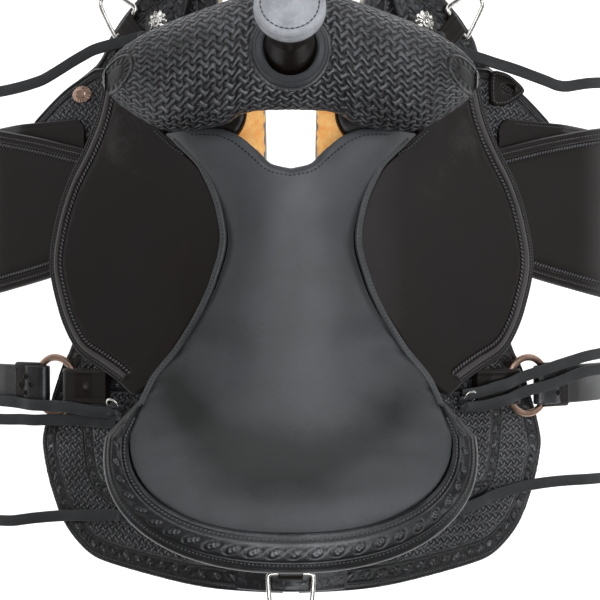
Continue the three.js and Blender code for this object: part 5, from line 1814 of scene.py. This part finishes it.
def make_bow(word, at, axes):
    ey, down, deep = axes
    line = spline(STIRRUP_LINE, 9)
    path = at(line[:, 0], line[:, 1], 0)
    parts = tube(Parts(), path, deep, oblong(25, 6.5, 0.62, 4))
    for way in (-1, 1):
        ball(parts, at([way * 51.9], [-9.5], 0)[0], (25, 6.2, 6.4), axes=np.array([deep, ey, down]))
    piece(f"stirrup_{word}_bow", parts, [WOOD], f"stirrup_body_{word}", f"stirrup_{word}")
    flat = (np.abs(line[:, 0]) < 45) & (line[:, 1] > 90)
    parts = tube(Parts(), path[flat], deep, oblong(25.8, 7.3, 0.5, 4))
    across = np.arange(-38, 39, 4.0)
    sew = lambda x, y, h: at(x, TREAD_C - 7.45 - h, y)
    for row in (-19.0, 19.0):
        threads = np.stack([across, np.full(len(across), row)], 1)
        stitches(parts, sew, threads, np.tile([1.0, 0.0], (len(across), 1)), 0.1, (3.0, 1.1))
    piece(f"stirrup_{word}_tread", parts, [SMOOTH, THREAD], f"stirrup_body_{word}")


def make_nuts(word, at):
    """The six-sided nuts with round ends on the stirrup's bolt."""
    parts = Parts()
    corners = np.abs(np.sin(3 * np.linspace(0, 2 * math.pi, 24, endpoint=False)))
    for way in (-1, 1):
        rings = [bolt_circle(at, way * reach, r * (1 - 0.07 * corners * (reach < 67)), 24) for reach,
                 r in NUT_PROFILE]
        loft(parts, np.array(rings))
    piece(f"stirrup_{word}_nuts", parts, [NICKEL], f"fender_set_{word}")


def make_stirrups():
    for word, side in SIDES:
        axes = np.array([[0.0, 1, 0], [0.0, 0, -1], [side, 0.0, 0.0]])
        at = on_axes(on(side, BOLT_U, FENDER_Y, BOLT_H), *axes)
        make_bow(word, at, axes)
        make_nuts(word, at)
        roller = loft(Parts(), np.array([bolt_circle(at, x, r, 28) for x, r in ROLLER_PROFILE]))
        piece(f"stirrup_{word}_roller", roller, [SMOOTH], f"fender_set_{word}")


# ---------------------------------------------------------------- wool, linings and the tree
def waves(a, b, scale, count, seed):
    """A smooth random height from waves that run every way."""
    rng = np.random.default_rng(seed)
    total = np.zeros(np.shape(a))
    for _ in range(count):
        way, phase, k = rng.uniform(0, 2 * math.pi), rng.uniform(0, 2 * math.pi), rng.uniform(0.7,
                1.4) / scale
        total += np.sin((a * math.cos(way) + b * math.sin(way)) * k * 2 * math.pi + phase)
    return total / math.sqrt(count)


def make_wool():
    outline = closed([(u + (2 if u < 80 and y < 300 else 0) - (3 if u > 150 else 0), y, *rest) for u, y,
                      *rest in SKIRT_OUTLINE], 4)
    filled = fill(outline, 4.2)
    tufts = lambda a, b, d, s: -1.4 + 0.9 * np.clip(waves(a, b, 11, 14, 3), -1.4, 1.4) + 0.5 * waves(a, b,
            5.5, 14, 7)
    for word, side in SIDES:
        under = lambda a, b, h: on(side, a, b, 15.6 - h)
        parts = panel(Parts(), under, filled, 0.2, 15.4, lambda a, b, d,
                      s: np.minimum(tufts(a, b, d, s), 0.2), edge=5)
        piece(f"fleece_{word}_wool", parts, [WOOL], BODY, f"fleece_{word}", sharp=180)


def make_linings():
    for word, side in SIDES:
        rng = np.random.default_rng(11 if side < 0 else 12)
        y = np.linspace(204, 112, 24)
        inner = [(18.4 + float(v), a) for a, v in zip(y, rng.uniform(0, 1.8, 24))]
        outline = closed([(*inner[0], 1), *inner[1:-1], (*inner[-1], 1), (54, 112, 1), (54, 204, 1)], 1.6)
        base = lambda a, b: 28.8 + 6 * np.clip((a - 20) / 34, 0, 1)
        relief = lambda a, b, d, s: 0.35 * waves(a, b, 16, 8, 5) + 0.18 * waves(a, b, 5, 8, 6)
        parts = panel(Parts(), lambda a, b, h: on(side, a, b, h), fill(outline, 2.2), lambda a,
                      b: base(a, b) + 1,
                      lambda a, b: base(a, b) + 3.2, relief, edge=0.9)
        piece(f"gullet_lining_{word}_hide", parts, [RUSSET], BODY,
              f"gullet_lining_{word}")


def paint(material, *names):
    for name in names:
        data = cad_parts[name].data
        data.materials.clear()
        data.materials.append(material)


make_straps()
make_rings()
make_conchos()
make_knots()
make_stirrups()
make_wool()
make_linings()
paint(RAWHIDE, "tree_fork")
paint(SMOOTH, "cantle_board", "ground_seat", "tree_bar_left", "tree_bar_right")
paint(NICKEL, "stirrup_bolt_left", "stirrup_bolt_right")
